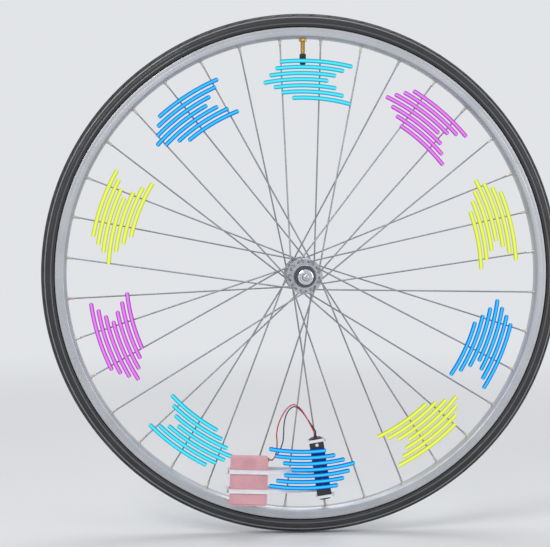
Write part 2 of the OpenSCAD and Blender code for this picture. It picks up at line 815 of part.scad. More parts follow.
module bar_strap(z) {
  color("white") on_bar() translate([0, 0, z]) {
    band(bar_outline(z), small_strap_w);
    translate([bar_w / 2 + gap + strap_t / 2, -bar_d / 2, 0]) mirror([1, 0, 0])
      strap_head(small_head, small_tail);
  }
}
module inner_bar_strap() { bar_strap(small_strap_z[0]); }
module outer_bar_strap() { bar_strap(small_strap_z[1]); }

// Light bar, in its own frame: X across, -Y out of its front, Z towards the hub
module rounded(w, l, r) {
  square([w - 2 * r, l], center = true);
  square([w, l - 2 * r], center = true);
  for (x = [-1, 1]) for (z = [-1, 1]) translate([x * (w / 2 - r), z * (l / 2 - r)]) circle(r = r);
}
module bar_slab(inset, from, depth) {
  translate([0, -from, bar_mid]) rotate([90, 0, 0])
    linear_extrude(depth) rounded(bar_w - 2 * inset, bar_l - 2 * inset, corner_r - inset);
}
module at_screws() {
  for (x = [-1, 1]) for (z = [screw_in, -screw_out]) translate([x * screw_x, 0, z]) children();
}
module at_diodes() {
  for (i = [0:led_count - 1]) translate([0, 0, led_row / 2 - i * led_pitch]) children();
}
module bar_ribs() {
  for (z = bar_rib_z)
    translate([-bar_rib_w / 2, -bar_wall, z - bar_rib_t / 2])
      cube([bar_rib_w, bar_spoke_y(z) - bar_y + bar_wall + rib_grip, bar_rib_t]);
}
module bar_back_shell() {
  ledge_l = bar_l - 2 * corner_r;
  color("#2b2d33") difference() {
    on_bar() difference() {
      union() {
        difference() {
          bar_slab(0, 0, back_d);
          bar_slab(bar_wall, bar_wall, back_d);
        }
        for (x = [-1, 1]) translate([x * (bar_w / 2 - bar_wall - ledge_w / 2), -board_back / 2, bar_mid])
          cube([ledge_w + 2 * weld, board_back, ledge_l], center = true);
        at_screws() out_from(0) cylinder(r = boss_r, h = back_d);
        bar_ribs();
      }
      at_screws() out_from(cut_over) cylinder(r = screw_r + slip, h = back_d + 2 * cut_over);
      at_screws() out_from(cut_over) cylinder(r = screw_head_r + gap, h = cut_over + screw_head_t);
      translate([0, bar_lead_y, bar_in - bar_wall - cut_over])
        cylinder(r = bar_grommet_r, h = bar_wall + 2 * cut_over);
    }
    spoke_room(bar_spoke);
  }
}
module bar_seal() {
  color("#8a1f1f") on_bar() difference() {
    bar_slab(seal_inset, back_d, seal_t);
    bar_slab(seal_inset + seal_w, back_d - cut_over, seal_t + 2 * cut_over);
  }
}
module bar_front_shell() {
  from = back_d + seal_t;
  color("#1d1f24") on_bar() difference() {
    union() {
      difference() {
        bar_slab(0, from, front_d);
        bar_slab(bar_wall, from - cut_over, front_d - bar_wall + cut_over);
      }
      at_screws() out_from(-from) cylinder(r = boss_r, h = front_d);
      at_diodes() out_from(-from - front_d + bar_wall)
        cylinder(r = led_d / 2 + hood_t, h = bar_wall + hood);
    }
    at_screws() out_from(cut_over - from) cylinder(r = screw_r + slip, h = front_d - bar_wall + cut_over);
    at_diodes() out_from(-from) cylinder(r = led_d / 2 + gap, h = front_d + hood + cut_over);
    translate([0, 0, button_z]) out_from(-from) cylinder(r = button_r + slip, h = front_d + cut_over);
  }
}
module bar_screws() {
  color("silver") on_bar() at_screws() {
    out_from(0) cylinder(r = screw_head_r, h = screw_head_t);
    out_from(0) cylinder(r = screw_r, h = bar_d - bar_wall - cut_over);
  }
}
module bar_grommet() {
  color("#333338") on_bar() difference() {
    union() {
      translate([0, bar_lead_y, bar_in - bar_wall]) cylinder(r = bar_grommet_r - slip, h = bar_wall);
      translate([0, bar_lead_y, bar_in]) cylinder(r = bar_grommet_r + grommet_edge, h = grommet_lip);
    }
    for (k = [-0.5, 0.5]) translate([k * bar_lead_step, bar_lead_y, bar_in - bar_wall - cut_over])
      cylinder(r = lead_r + gap, h = bar_wall + grommet_lip + 2 * cut_over);
  }
}
module circuit_board() {
  length = bar_l - 2 * board_end;
  color("#1f5a36") on_bar() difference() {
    translate([-board_w / 2, -board_front, bar_mid - length / 2]) cube([board_w, board_t, length]);
    at_screws() out_from(0) cylinder(r = boss_r + gap, h = bar_d);
  }
}
module diode_profile() {
  r = led_d / 2;
  intersection() {
    union() {
      translate([0, led_h - r]) circle(r = r);
      square([r, led_h - r]);
      square([r + diode_foot, diode_foot_h]);
    }
    square([led_d, led_h]);
  }
}
module diodes() { color("#9fd8ff") on_bar() at_diodes() out_from(-board_front) spin() diode_profile(); }
module controller_chip() {
  color("#16161a") on_bar() translate([-chip.x / 2, -board_back, chip_z]) cube(chip);
}
module motion_switch() {
  x = board_w / 2 - motion_r - motion_edge;
  color("silver") on_bar() translate([x, -board_front - motion_r, motion_z])
    cylinder(r = motion_r, h = motion_l);
}
module board_parts() {
  x = motion_edge * 2 - board_w / 2;
  z = (led_row - led_pitch - resistor.z) / 2;
  color("#5a4632") on_bar() for (i = [0:led_count - 2])
    translate([x, -board_front - resistor.y, z - i * led_pitch]) cube(resistor);
}
module button_switch() {
  color("#2a2a2a") on_bar() translate([-switch_w / 2, -board_front - switch_h(), button_z - switch_w / 2])
    cube([switch_w, switch_h(), switch_w]);
}
function button_back() = bar_d - bar_wall - gap - button_lip;
function switch_h() = button_back() - press - switch_gap - board_front;
module mode_button() {
  color("#e6e6e0") on_bar() translate([0, 0, button_z]) {
    out_from(-button_back()) cylinder(r = button_r + button_lip, h = button_lip);
    out_from(-button_back()) cylinder(r = button_r, h = bar_d - button_back() + button_proud);
  }
}

// Leads: from the box's side, up in a loop and down into the bar's end
function box_world(u, y, z) =
  let (p = box_xz + u * box_u + z * box_n)
  [p.x, unit_y + y, p.y];
function bar_world(x, y, z) =
  let (p = bar_xz + x * [cos(bar_turn), sin(bar_turn)] + z * [-sin(bar_turn), cos(bar_turn)])
  [p.x, bar_y + y, p.y];
function lead_path(k, middle) =
  let (y = box_lead_y + k * lead_step / 2, x = k * bar_lead_step / 2)
  concat(
    [for (d = [-side_wall, 0, grommet_lip + lead_d]) box_world(box_half + d, y, box_lead_z)],
    middle,
    [for (d = [grommet_lip + lead_d, 0, -bar_wall]) bar_world(x, bar_lead_y, bar_in + d)]
  );
module red_lead() { color("crimson") tube(smooth(lead_path(-1, red_route)), lead_r, lead_sides); }
module black_lead() { color("#2a2438") tube(smooth(lead_path(1, black_route)), lead_r, lead_sides); }

axle();
left_cone();
right_cone();
lock_washers();
left_locknut();
right_locknut();
serrated_washers();
left_axle_nut();
right_axle_nut();
left_bearing_balls();
right_bearing_balls();
hub_shell();
left_dust_cap();
right_dust_cap();
left_inner_spokes();
left_outer_spokes();
right_inner_spokes();
right_outer_spokes();
nipples();
rim();
rim_tape();
inner_tube();
tyre();
valve_stem();
valve_nut();
valve_cap();
box_base();
box_cover();
cells();
contact_springs();
contact_plates();
box_grommet();
inner_box_strap();
outer_box_strap();
bar_back_shell();
bar_seal();
bar_front_shell();
bar_screws();
bar_grommet();
circuit_board();
diodes();
controller_chip();
motion_switch();
board_parts();
button_switch();
mode_button();
inner_bar_strap();
outer_bar_strap();
red_lead();
black_lead();
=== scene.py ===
"""Looks of the spoke wheel light: a laced wheel on its axle, a battery box and a bar of lights
strapped to its spokes, the pair of leads between them and the figures that the lights draw."""
import math

import bmesh
import bpy
import numpy as np
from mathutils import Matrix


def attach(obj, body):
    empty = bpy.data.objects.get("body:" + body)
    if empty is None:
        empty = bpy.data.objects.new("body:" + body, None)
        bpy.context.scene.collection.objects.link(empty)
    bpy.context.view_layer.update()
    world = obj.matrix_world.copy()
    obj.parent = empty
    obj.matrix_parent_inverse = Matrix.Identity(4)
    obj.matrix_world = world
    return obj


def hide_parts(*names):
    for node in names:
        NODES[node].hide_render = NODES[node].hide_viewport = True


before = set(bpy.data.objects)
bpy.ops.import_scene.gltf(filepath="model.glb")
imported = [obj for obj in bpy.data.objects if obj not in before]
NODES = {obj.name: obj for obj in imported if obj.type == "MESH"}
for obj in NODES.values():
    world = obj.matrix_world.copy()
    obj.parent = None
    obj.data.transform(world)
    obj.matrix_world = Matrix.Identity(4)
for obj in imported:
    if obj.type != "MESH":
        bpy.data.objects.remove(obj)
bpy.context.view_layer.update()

MM = 0.001
FULL = 2 * np.pi

# Sizes of the solids, in millimetres and degrees; the wheel stands in the x-z plane, its axle along y
RIM_IN, RIM_EDGE, RIM_HALF, RIM_WALL = 303.0, 317.0, 9.75, 1.8
BEAD_R, TYRE_C, TYRE_R = 311.0, 322.5, 12.45
SPOKE_R, SPOKES, HOLE_R, ELBOW = 1.0, 18, 19.0, 2.4
RIM_START, PITCH, CROSS, RIM_SHIFT = 5.6, 20.0, 60.0, 1.5
SPAN, FLANGE = 70.0, 3.0
AXLE_R, AXLE_HALF, AXLE_BORE = 4.5, 72.0, 4.55
BOX_W, BOX_D, BOX_TURN = 48.3, 18.5, math.radians(-2)
BOX_R, BOX_ANGLE = 272.4, -15.1
BAR_W, BAR_HALF, BAR_D, BAR_STEP, BOARD_FRONT = 18.0, 40.0, 13.0, 1.0, 5.8
LEDS, LED_R, LED_H, LED_PITCH, LED_MID_R = 7, 2.5, 8.8, 7.8, 249.0
STRAP_T, GAP, CLEAR = 1.3, 0.15, 0.3
LEAD_R = 0.8

# The axle's middle, and directions: towards the right, along the axle, towards the eye and down
CENTRE, RIGHT, AXLE_WAY, OUT, DOWN = (0, 0, 0), (1, 0, 0), (0, 1, 0), (0, -1, 0), (0, 0, -1)


# Grids and meshes

# How near two points are when they are one, in metres: on a grid's seam, and in a solid's triangles
SEAM, WELD = 2e-7, 2e-6
# Degrees: where shading breaks, which faces of a solid are one flat, and which of its edges are rounded
CREASE, EASED_CREASE, FLAT, ROUNDED = 40, 30, 0.6, 50
BEVEL_STEPS = 3


def quads(rows, cols, loop_rows=False, loop_cols=False):
    """Corners of a grid's cells: cell (i, j) joins rows i, i+1 and columns j, j+1, round where it loops."""
    i = np.arange(rows if loop_rows else rows - 1)
    j = np.arange(cols if loop_cols else cols - 1)
    a, b = np.meshgrid(i, j, indexing="ij")
    c, d = (a + 1) % rows, (b + 1) % cols
    return np.stack([a * cols + b, a * cols + d, c * cols + d, c * cols + b], -1).reshape(-1, 4)


def join(*grids):
    """Several grids as one: the points in a row, each grid's faces moved on by the points before it."""
    starts = np.cumsum([0] + [len(points) for points, _ in grids[:-1]])
    faces = [f + s for (_, f), s in zip(grids, starts)]
    return np.concatenate([p for p, _ in grids]), np.concatenate(faces)


def repeated(points, faces):
    """Copies of one grid, points (copies, n, 3) with the faces of the first."""
    copies, n = points.shape[:2]
    moved = faces[None] + (np.arange(copies) * n)[:, None, None]
    return points.reshape(-1, 3), moved.reshape(-1, 4)


def piece(name, grid, finish, body="wheel", stands_for=None, crease=CREASE, core=None):
    """Puts a grid in millimetres into one object at the origin, closes its seams, turns its faces out and
    rides it. Core values, where given, are kept with the points."""
    points, faces = grid
    mesh = bpy.data.meshes.new(name)
    mesh.vertices.add(len(points))
    mesh.vertices.foreach_set("co", (points * MM).astype(np.float32).ravel())
    mesh.loops.add(faces.size)
    mesh.loops.foreach_set("vertex_index", faces.astype(np.int32).ravel())
    mesh.polygons.add(len(faces))
    mesh.polygons.foreach_set("loop_start", np.arange(0, faces.size, 4, dtype=np.int32))
    mesh.update(calc_edges=True)
    if core is not None:
        values = mesh.attributes.new("core", "FLOAT", "POINT").data
        values.foreach_set("value", core.astype(np.float32).ravel())
    work = bmesh.new()
    work.from_mesh(mesh)
    bmesh.ops.remove_doubles(work, verts=work.verts, dist=SEAM)
    bmesh.ops.recalc_face_normals(work, faces=work.faces)
    work.to_mesh(mesh)
    work.free()
    return placed(bpy.data.objects.new(name, mesh), finish, body, stands_for, crease)


def placed(thing, finish, body, stands_for, crease):
    """Shades an object smooth up to a crease angle, gives it its finish and rides it on a body."""
    mesh = thing.data
    mesh.polygons.foreach_set("use_smooth", np.ones(len(mesh.polygons), dtype=bool))
    mesh.set_sharp_from_angle(angle=math.radians(crease))
    mesh.materials.clear()
    mesh.materials.append(finish)
    bpy.context.scene.collection.objects.link(thing)
    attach(thing, body)
    if stands_for:
        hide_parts(stands_for)
    return thing


def eased(solid, finish, width, body="wheel"):
    """A solid's own surface, its doubles merged and flat faces joined, with its edges rounded by a bevel."""
    mesh = NODES[solid].data.copy()
    work = bmesh.new()
    work.from_mesh(mesh)
    bmesh.ops.remove_doubles(work, verts=work.verts, dist=WELD)
    bmesh.ops.dissolve_limit(work, angle_limit=math.radians(FLAT), verts=work.verts, edges=work.edges)
    work.to_mesh(mesh)
    work.free()
    thing = bpy.data.objects.new(solid + "_eased", mesh)
    bevel = placed(thing, finish, body, solid, EASED_CREASE).modifiers.new("edges", "BEVEL")
    bevel.width = width * MM
    bevel.segments = BEVEL_STEPS
    bevel.limit_method = "ANGLE"
    bevel.angle_limit = math.radians(ROUNDED)
    bevel.harden_normals = True


# Lines and frames of the wheel

def unit(vectors):
    """Vectors made one long."""
    return vectors / np.linalg.norm(vectors, axis=-1, keepdims=True)


def turns(steps):
    """Even angles round a whole turn."""
    return np.linspace(0, FULL, steps, endpoint=False)


def polar(r, degrees):
    """A point of the wheel's plane by radius and angle from straight down: x = r sin a, z = -r cos a."""
    a = np.radians(degrees)
    return np.stack(np.broadcast_arrays(r * np.sin(a), -r * np.cos(a)), -1)


def spoke_lines(side):
    """Start and end of each spoke's straight part on one side: out of the hub's hole round an elbow, an arc
    that turns until it points at the rim's hole, then straight."""
    j = np.arange(SPOKES)
    lean = np.where(j % 2 == 0, 1, -1)
    angle = RIM_START + (0 if side < 0 else PITCH / 2) + PITCH * j
    hub, rim = polar(HOLE_R, angle - lean * CROSS), polar(RIM_IN, angle)
    run = np.linalg.norm(rim - hub, axis=-1)
    way = (rim - hub) / run[:, None]
    out = -side * lean
    first_y = side * (SPAN - lean * FLANGE) / 2
    rise = out * (side * RIM_SHIFT - first_y)
    bend = np.arccos(-ELBOW / np.hypot(run - ELBOW, rise)) - np.arctan2(rise, run - ELBOW)
    start = hub + (ELBOW * (1 - np.cos(bend)))[:, None] * way
    start_y = first_y + out * ELBOW * np.sin(bend)
    end_y = np.full(SPOKES, side * RIM_SHIFT)
    return np.stack([start[:, 0], start_y, start[:, 1]], -1), np.stack([rim[:, 0], end_y, rim[:, 1]], -1)


def at_radius(start, end, radius):
    """The point of a spoke's line at a distance from the axle, by the square's larger root."""
    a, d = start[[0, 2]], end[[0, 2]] - start[[0, 2]]
    p, q = a @ d / (d @ d), (a @ a - radius ** 2) / (d @ d)
    return start + (np.sqrt(p * p - q) - p) * (end - start)


def frame_at(origin, turn):
    """A map from a mounting's own (across, depth, inwards) to the wheel, turned about the axle's way."""
    c, s = math.cos(turn), math.sin(turn)

    def to_wheel(x, y, z):
        x, y, z = np.broadcast_arrays(x, y, z)
        return np.stack([origin[0] + x * c - z * s, origin[1] + y, origin[2] + x * s + z * c], -1)

    return to_wheel


near_start, near_end = spoke_lines(-1)
far_start, far_end = spoke_lines(1)
bar_spoke = (near_start[0], near_end[0])
box_spoke = (near_start[-1], near_end[-1])
bar_mid = at_radius(*bar_spoke, LED_MID_R)
bar_way = (bar_spoke[1] - bar_spoke[0]) / np.linalg.norm((bar_spoke[1] - bar_spoke[0])[[0, 2]])
bar_turn = math.atan2(bar_way[0], -bar_way[2])
unit_y = bar_mid[1] - BAR_HALF * bar_way[1] - SPOKE_R - CLEAR
bar_y = unit_y - BAR_STEP
on_bar = frame_at((bar_mid[0], bar_y, bar_mid[2]), bar_turn)
across_bar = on_bar(1.0, 0.0, 0.0) - on_bar(0.0, 0.0, 0.0)
box_x, box_z = polar(BOX_R, BOX_ANGLE)
on_box = frame_at((box_x, unit_y, box_z), BOX_TURN)


# Shapes

# The most of a side that a rounded corner takes, and the points in a quarter turn of a block's edge
SIDE_SHARE, EDGE_STEPS = 0.45, 4


def softened(corners, radius, steps):
    """A closed outline with each corner P replaced by a curve, (1-u)^2 A + 2u(1-u) P + u^2 B, where A and B
    lie a radius away along the two sides."""
    p = np.asarray(corners, float)
    before, after = np.roll(p, 1, 0) - p, np.roll(p, -1, 0) - p
    la, lb = np.linalg.norm(before, axis=1), np.linalg.norm(after, axis=1)
    r = np.minimum(np.minimum(np.broadcast_to(radius, len(p)), SIDE_SHARE * la), SIDE_SHARE * lb)
    a, b = p + before * (r / la)[:, None], p + after * (r / lb)[:, None]
    u = np.linspace(0, 1, steps)[None, :, None]
    curve = (1 - u) ** 2 * a[:, None] + 2 * u * (1 - u) * p[:, None] + u ** 2 * b[:, None]
    return curve.reshape(-1, 2)


def turned(profile, steps, origin, along, across, shape=None, loop=False):
    """A profile of (radius, height) turned about an axis: origin + h along + r (cos a across + sin a third).
    A shape of (angle, radius, height) changes radius and height."""
    along, across = np.asarray(along, float), np.asarray(across, float)
    third = np.cross(along, across)
    a = turns(steps)[:, None]
    r, h = np.asarray(profile, float).T
    r, h = np.broadcast_to(r, (steps, len(r))), np.broadcast_to(h, (steps, len(h)))
    if shape is not None:
        r, h = shape(a, r, h)
    points = np.asarray(origin) + h[..., None] * along
    points = points + (r * np.cos(a))[..., None] * across + (r * np.sin(a))[..., None] * third
    return points.reshape(-1, 3), quads(steps, r.shape[1], True, loop)


def around(profile, steps, origins, ways, shape=None):
    """A closed profile of (radius, height) turned about many axes at once: a ring at each origin along its
    way. A shape of (angle, radius, height) changes the radius."""
    across = unit(np.cross(ways, AXLE_WAY))
    third = np.cross(ways, across)
    a = turns(steps)[:, None]
    r, h = np.asarray(profile, float).T
    r = np.broadcast_to(r, (steps, len(r))) if shape is None else shape(a, r, h)
    h = np.broadcast_to(h, r.shape)
    basis = [v[:, None, None] for v in (ways, across, third)]
    points = origins[:, None, None] + h[..., None] * basis[0]
    points = points + (r * np.cos(a))[..., None] * basis[1] + (r * np.sin(a))[..., None] * basis[2]
    return repeated(points.reshape(len(origins), -1, 3), quads(steps, r.shape[1], True, True))


def tube(path, radius, sides):
    """A circle carried along a path, from the axle's way made square to the tangent; its ends close."""
    way = unit(np.gradient(path, axis=0))
    first = unit(AXLE_WAY - way[:, 1:2] * way)
    second = np.cross(way, first)
    a = turns(sides)[None, :, None]
    rings = path[:, None] + radius * (np.cos(a) * first[:, None] + np.sin(a) * second[:, None])
    ends = [np.broadcast_to(path[k], (1, sides, 3)) for k in (0, -1)]
    rings = np.concatenate([ends[0], rings, ends[1]])
    return rings.reshape(-1, 3), quads(len(rings), sides, False, True)


def brick(half, radius, place, middle):
    """A block with round edges: a ball's octants pulled apart to the corners, the flats closed to points."""
    quarter = np.linspace(0, np.pi / 2, EDGE_STEPS)
    turn = (quarter[None] + np.arange(4)[:, None] * np.pi / 2).ravel()
    sx = np.repeat([1, -1, -1, 1], EDGE_STEPS)
    sy = np.repeat([1, 1, -1, -1], EDGE_STEPS)
    rise = np.concatenate([quarter - np.pi / 2, quarter])[:, None]
    sz = np.repeat([-1, 1], EDGE_STEPS)[:, None]
    x = sx * (half[0] - radius) + radius * np.cos(rise) * np.cos(turn)
    y = sy * (half[1] - radius) + radius * np.cos(rise) * np.sin(turn)
    z = sz * (half[2] - radius) + radius * np.sin(rise) + 0 * turn
    zero = np.zeros((1, len(turn)))
    x, y = np.concatenate([zero, x, zero]), np.concatenate([zero, y, zero])
    z = np.concatenate([zero - half[2], z, zero + half[2]])
    points = place(x + middle[0], y + middle[1], z + middle[2])
    return points.reshape(-1, 3), quads(*x.shape, False, True)


def wave(x):
    """A saw that falls and rises evenly between 1 and 0 once in each unit."""
    return np.abs(2 * (x - np.floor(x)) - 1)


def ramp(x, low, high):
    """A smooth step from 0 at low to 1 at high: 3t^2 - 2t^3."""
    t = np.clip((x - low) / (high - low), 0, 1)
    return t * t * (3 - 2 * t)


# Finishes

# How broad patches and fine grain mix, and the part of the mix over which tone and roughness change
PATCH_SHARE, GRAIN_SHARE = 0.65, 0.35
TONE_SPAN, GLOSS_SPAN = (0.35, 0.65), (0.3, 0.7)
# Depth of the grain and of the turned rings, in metres
GRAIN_DEPTH, RING_DEPTH = 0.0004, 0.0002
# The tyre by distance from the axle, in metres: where its tread turns into its wall, the wall's glossier
# lines with the pale colours painted in as highlights, and how a line fades from its middle
WALL_SPAN, WALL_GLOSS = (0.3305, 0.3285), 0.18
TYRE_HIGHLIGHTS = ((0.3293, (132, 132, 136)), (0.3214, (92, 92, 96)))
HIGHLIGHT_SPAN, HIGHLIGHT_GLOSS = (0.0009, 0.0005), 0.28
# Core values at which drawn light has its edge's, its middle and its heart's colour
CORE_STOPS, LIGHT_ROUGH = (0.45, 0.8, 0.97), 0.6


def node(tree, kind, inputs=None, **settings):
    """Adds a shader node, sets its settings, and sets or links its inputs."""
    made = tree.nodes.new("ShaderNode" + kind)
    for key, value in settings.items():
        setattr(made, key, value)
    for key, value in (inputs or {}).items():
        if isinstance(value, bpy.types.NodeSocket):
            tree.links.new(value, made.inputs[key])
        else:
            made.inputs[key].default_value = value
    return made


def sums(tree, operation, a, b=0.0):
    """One Math node's result."""
    return node(tree, "Math", {0: a, 1: b}, operation=operation).outputs[0]


def spread(tree, value, span, ends=(0.0, 1.0), **settings):
    """A value carried from its span to the ends, and held there."""
    inputs = {"Value": value, "From Min": span[0], "From Max": span[1], "To Min": ends[0], "To Max": ends[1]}
    return node(tree, "MapRange", inputs, **settings).outputs[0]


def tones(tree, share, first, second):
    """Two colours mixed by a share."""
    inputs = {"Factor": share, "A": first, "B": second}
    return node(tree, "Mix", inputs, data_type="RGBA").outputs["Result"]


def linear(rgb):
    """Screen colour, 0 to 255, as linear light with full opacity."""
    c = np.asarray(rgb, float) / 255
    c = np.where(c <= 0.04045, c / 12.92, ((c + 0.055) / 1.055) ** 2.4)
    return (*c.tolist(), 1.0)


def in_place(tree):
    """The shaded point in the shared frame, in metres."""
    return node(tree, "TexCoord").outputs["Object"]


def length_of(tree, vector):
    """A vector's length."""
    return node(tree, "VectorMath", {0: vector}, operation="LENGTH").outputs["Value"]


def from_axle(tree):
    """Distance of the shaded point from the axle, in metres: the length of its place without its y."""
    inputs = {0: in_place(tree), 1: (1, 0, 1)}
    return length_of(tree, node(tree, "VectorMath", inputs, operation="MULTIPLY").outputs[0])


def fresh(name, **sockets):
    """A new material, its tree, and its shader with the sockets that are the same all over."""
    material = bpy.data.materials.new(name)
    material.use_nodes = True
    shader = material.node_tree.nodes["Principled BSDF"]
    for key, value in sockets.items():
        shader.inputs[key.replace("_", " ")].default_value = value
    return material, material.node_tree, shader


def finish(name, light, dark, rough, grain, bump, patch=25.0, rings=0.0, ring_bump=0.2, **sockets):
    """A worked surface: two tones and roughness mixed by broad patches and fine grain, fine relief by the
    grain, and turned rings about the axle where asked."""
    material, tree, shader = fresh(name, **sockets)
    place = in_place(tree)
    fine = node(tree, "TexNoise", {"Vector": place, "Scale": grain, "Detail": 4.0}).outputs[0]
    broad = node(tree, "TexNoise", {"Vector": place, "Scale": patch, "Detail": 3.0}).outputs[0]
    parts = sums(tree, "MULTIPLY", broad, PATCH_SHARE), sums(tree, "MULTIPLY", fine, GRAIN_SHARE)
    mixed = sums(tree, "ADD", *parts)
    tone = tones(tree, spread(tree, mixed, TONE_SPAN), linear(light), linear(dark))
    tree.links.new(tone, shader.inputs["Base Color"])
    tree.links.new(spread(tree, mixed, GLOSS_SPAN, rough), shader.inputs["Roughness"])
    relief = {"Strength": bump, "Distance": GRAIN_DEPTH, "Height": fine}
    normal = node(tree, "Bump", relief).outputs[0]
    if rings:
        line = sums(tree, "SINE", sums(tree, "MULTIPLY", from_axle(tree), rings))
        relief = {"Strength": ring_bump, "Distance": RING_DEPTH, "Height": line, "Normal": normal}
        normal = node(tree, "Bump", relief).outputs[0]
    tree.links.new(normal, shader.inputs["Normal"])
    return material


def tyre_finish():
    """Black rubber: matt tread, smoother walls and glossier lines with painted highlights, by the distance
    from the axle.
    """
    material = finish("tyre_rubber", (44, 44, 46), (30, 30, 32), (0.55, 0.75), 900, 0.12, patch=30)
    tree = material.node_tree
    shader = tree.nodes["Principled BSDF"]
    r = from_axle(tree)
    colour = shader.inputs["Base Color"].links[0].from_socket
    rough = shader.inputs["Roughness"].links[0].from_socket
    rough = sums(tree, "SUBTRACT", rough, sums(tree, "MULTIPLY", spread(tree, r, WALL_SPAN), WALL_GLOSS))
    # Each line is glossier, and its colour is mixed pale: a painted highlight on the tyre's wall
    for radius, highlight_tone in TYRE_HIGHLIGHTS:
        off = sums(tree, "ABSOLUTE", sums(tree, "SUBTRACT", r, radius))
        line = spread(tree, off, HIGHLIGHT_SPAN)
        rough = sums(tree, "SUBTRACT", rough, sums(tree, "MULTIPLY", line, HIGHLIGHT_GLOSS))
        # Painted highlight: the rubber's colour mixed towards the line's pale grey
        colour = tones(tree, line, colour, linear(highlight_tone))
    tree.links.new(rough, shader.inputs["Roughness"])
    tree.links.new(colour, shader.inputs["Base Color"])
    return material


def light_finish(name, heart, middle, edge, strength=1.0, gloss=0.0):
    """Drawn light: its colour runs from the edge's over a middle one to the heart's with the core value."""
    material, tree, shader = fresh(name, Base_Color=(0, 0, 0, 1), Emission_Strength=strength,
                                   Specular_IOR_Level=gloss, Roughness=LIGHT_ROUGH)
    core = node(tree, "Attribute", attribute_name="core").outputs["Fac"]
    tone = node(tree, "ValToRGB", {"Fac": core})
    stops = tone.color_ramp.elements
    stops.new(CORE_STOPS[1])
    for stop, place, colour in zip(stops, CORE_STOPS, (edge, middle, heart)):
        stop.position, stop.color = place, linear(colour)
    tree.links.new(tone.outputs["Color"], shader.inputs["Emission Color"])
    return material


# Each finish: light and dark tone, least and most roughness, the grain's scale and its relief
RUBBER = tyre_finish()
RIM_ALLOY = finish("rim_alloy", (192, 194, 198), (176, 178, 184), (0.38, 0.48), 300, 0.0, Metallic=1.0,
                   rings=6000, ring_bump=0.01)
HUB_ALLOY = finish("hub_alloy", (202, 204, 208), (176, 178, 184), (0.2, 0.32), 500, 0.03, Metallic=1.0,
                   rings=9000)
SPOKE_STEEL = finish("spoke_steel", (156, 158, 163), (138, 140, 146), (0.46, 0.56), 900, 0.0, Metallic=1.0)
NICKEL = finish("nickel", (198, 194, 186), (176, 170, 160), (0.36, 0.46), 900, 0.02, Metallic=1.0)
ZINC = finish("zinc", (196, 198, 200), (164, 168, 172), (0.3, 0.46), 700, 0.05, Metallic=1.0)
CHROME = finish("chrome", (222, 223, 226), (206, 208, 212), (0.06, 0.16), 500, 0.01, Metallic=1.0)
DARK_STEEL = finish("dark_steel", (112, 113, 118), (84, 86, 92), (0.26, 0.42), 600, 0.05, Metallic=1.0,
                    rings=12000)
BRASS = finish("brass", (206, 170, 98), (178, 140, 76), (0.25, 0.4), 600, 0.05, Metallic=1.0)
BOX_PLASTIC = finish("box_plastic", (222, 168, 176), (208, 152, 161), (0.42, 0.55), 1600, 0.1, patch=40,
                     Subsurface_Weight=0.08, Subsurface_Scale=0.002)
NYLON = finish("nylon", (236, 237, 240), (224, 226, 231), (0.38, 0.5), 1200, 0.05, patch=60,
               Subsurface_Weight=0.15, Subsurface_Scale=0.002)
BAR_PLASTIC = finish("bar_plastic", (40, 41, 48), (28, 29, 34), (0.42, 0.58), 2200, 0.22, patch=60)
SOFT_RUBBER = finish("soft_rubber", (38, 38, 40), (26, 26, 28), (0.6, 0.75), 1500, 0.12)
SEAL = finish("seal", (150, 44, 40), (122, 32, 30), (0.5, 0.65), 1200, 0.08)
TAPE = finish("tape", (196, 184, 128), (176, 160, 104), (0.7, 0.85), 1800, 0.25)
BOARD = finish("board", (32, 104, 62), (22, 82, 48), (0.28, 0.4), 900, 0.06)
MOULDED = finish("moulded", (36, 36, 40), (26, 26, 30), (0.45, 0.6), 1800, 0.1)
BUTTON = finish("button_plastic", (226, 224, 216), (208, 206, 198), (0.3, 0.42), 1200, 0.05)
SLEEVE = finish("sleeve", (58, 112, 168), (42, 92, 148), (0.2, 0.3), 200, 0.02, Metallic=0.2)
RED_SHEATH = finish("red_sheath", (205, 34, 52), (178, 24, 44), (0.3, 0.42), 900, 0.06, Coat_Weight=0.2)
DARK_SHEATH = finish("dark_sheath", (62, 48, 92), (46, 34, 74), (0.3, 0.42), 900, 0.06, Coat_Weight=0.2)
LIT_RESIN = light_finish("lit_resin", (150, 225, 255), (90, 190, 255), (40, 150, 250), strength=1.1,
                         gloss=0.5)
BLUE = light_finish("blue_light", (60, 210, 255), (10, 140, 240), (0, 45, 190))
YELLOW = light_finish("yellow_light", (240, 252, 110), (224, 236, 60), (165, 185, 20))
MAGENTA = light_finish("magenta_light", (240, 140, 245), (205, 85, 220), (125, 25, 165))
CYAN = light_finish("cyan_light", (90, 240, 255), (25, 200, 228), (0, 125, 185))


# Camera and leads

# The leads in the box's side, then in the bar's end: depth, half their distance, height, straight ends
LEAD_DEPTH, LEAD_GAP, LEAD_HEIGHT, BOX_ENDS = -8.5, 1.1, 27.2, np.array([-2.4, 0, 2.6])
BAR_LEAD_DEPTH, BAR_LEAD_GAP, BAR_ENDS = -3.1, 1.0, np.array([2.6, 0, -1.5])
LEAD_SIDES, PATH_STEPS = 16, 8
# The loop of each lead between its straight ends
RED_LOOP = [
    (-40.5, -23.5, -236.5), (-37, -22.5, -231.5), (-35, -22, -224), (-34.5, -23, -214), (-35, -24, -203),
    (-33, -25, -191), (-28, -26, -179), (-21, -26, -169), (-13, -26, -165), (-5, -25, -170),
    (2, -24, -180), (8, -22, -191), (13, -18.5, -201)]
DARK_LOOP = [
    (-40.5, -21.5, -236.5), (-35.5, -20.5, -231.5), (-31, -20, -225), (-27, -20.5, -214), (-26, -21.5, -203),
    (-25.5, -22.5, -191), (-23, -23.5, -179), (-18, -23.5, -171), (-11.5, -23.5, -168), (-4, -22.5, -173),
    (3, -21.5, -182), (9, -20.5, -191), (15, -18, -200.5)]


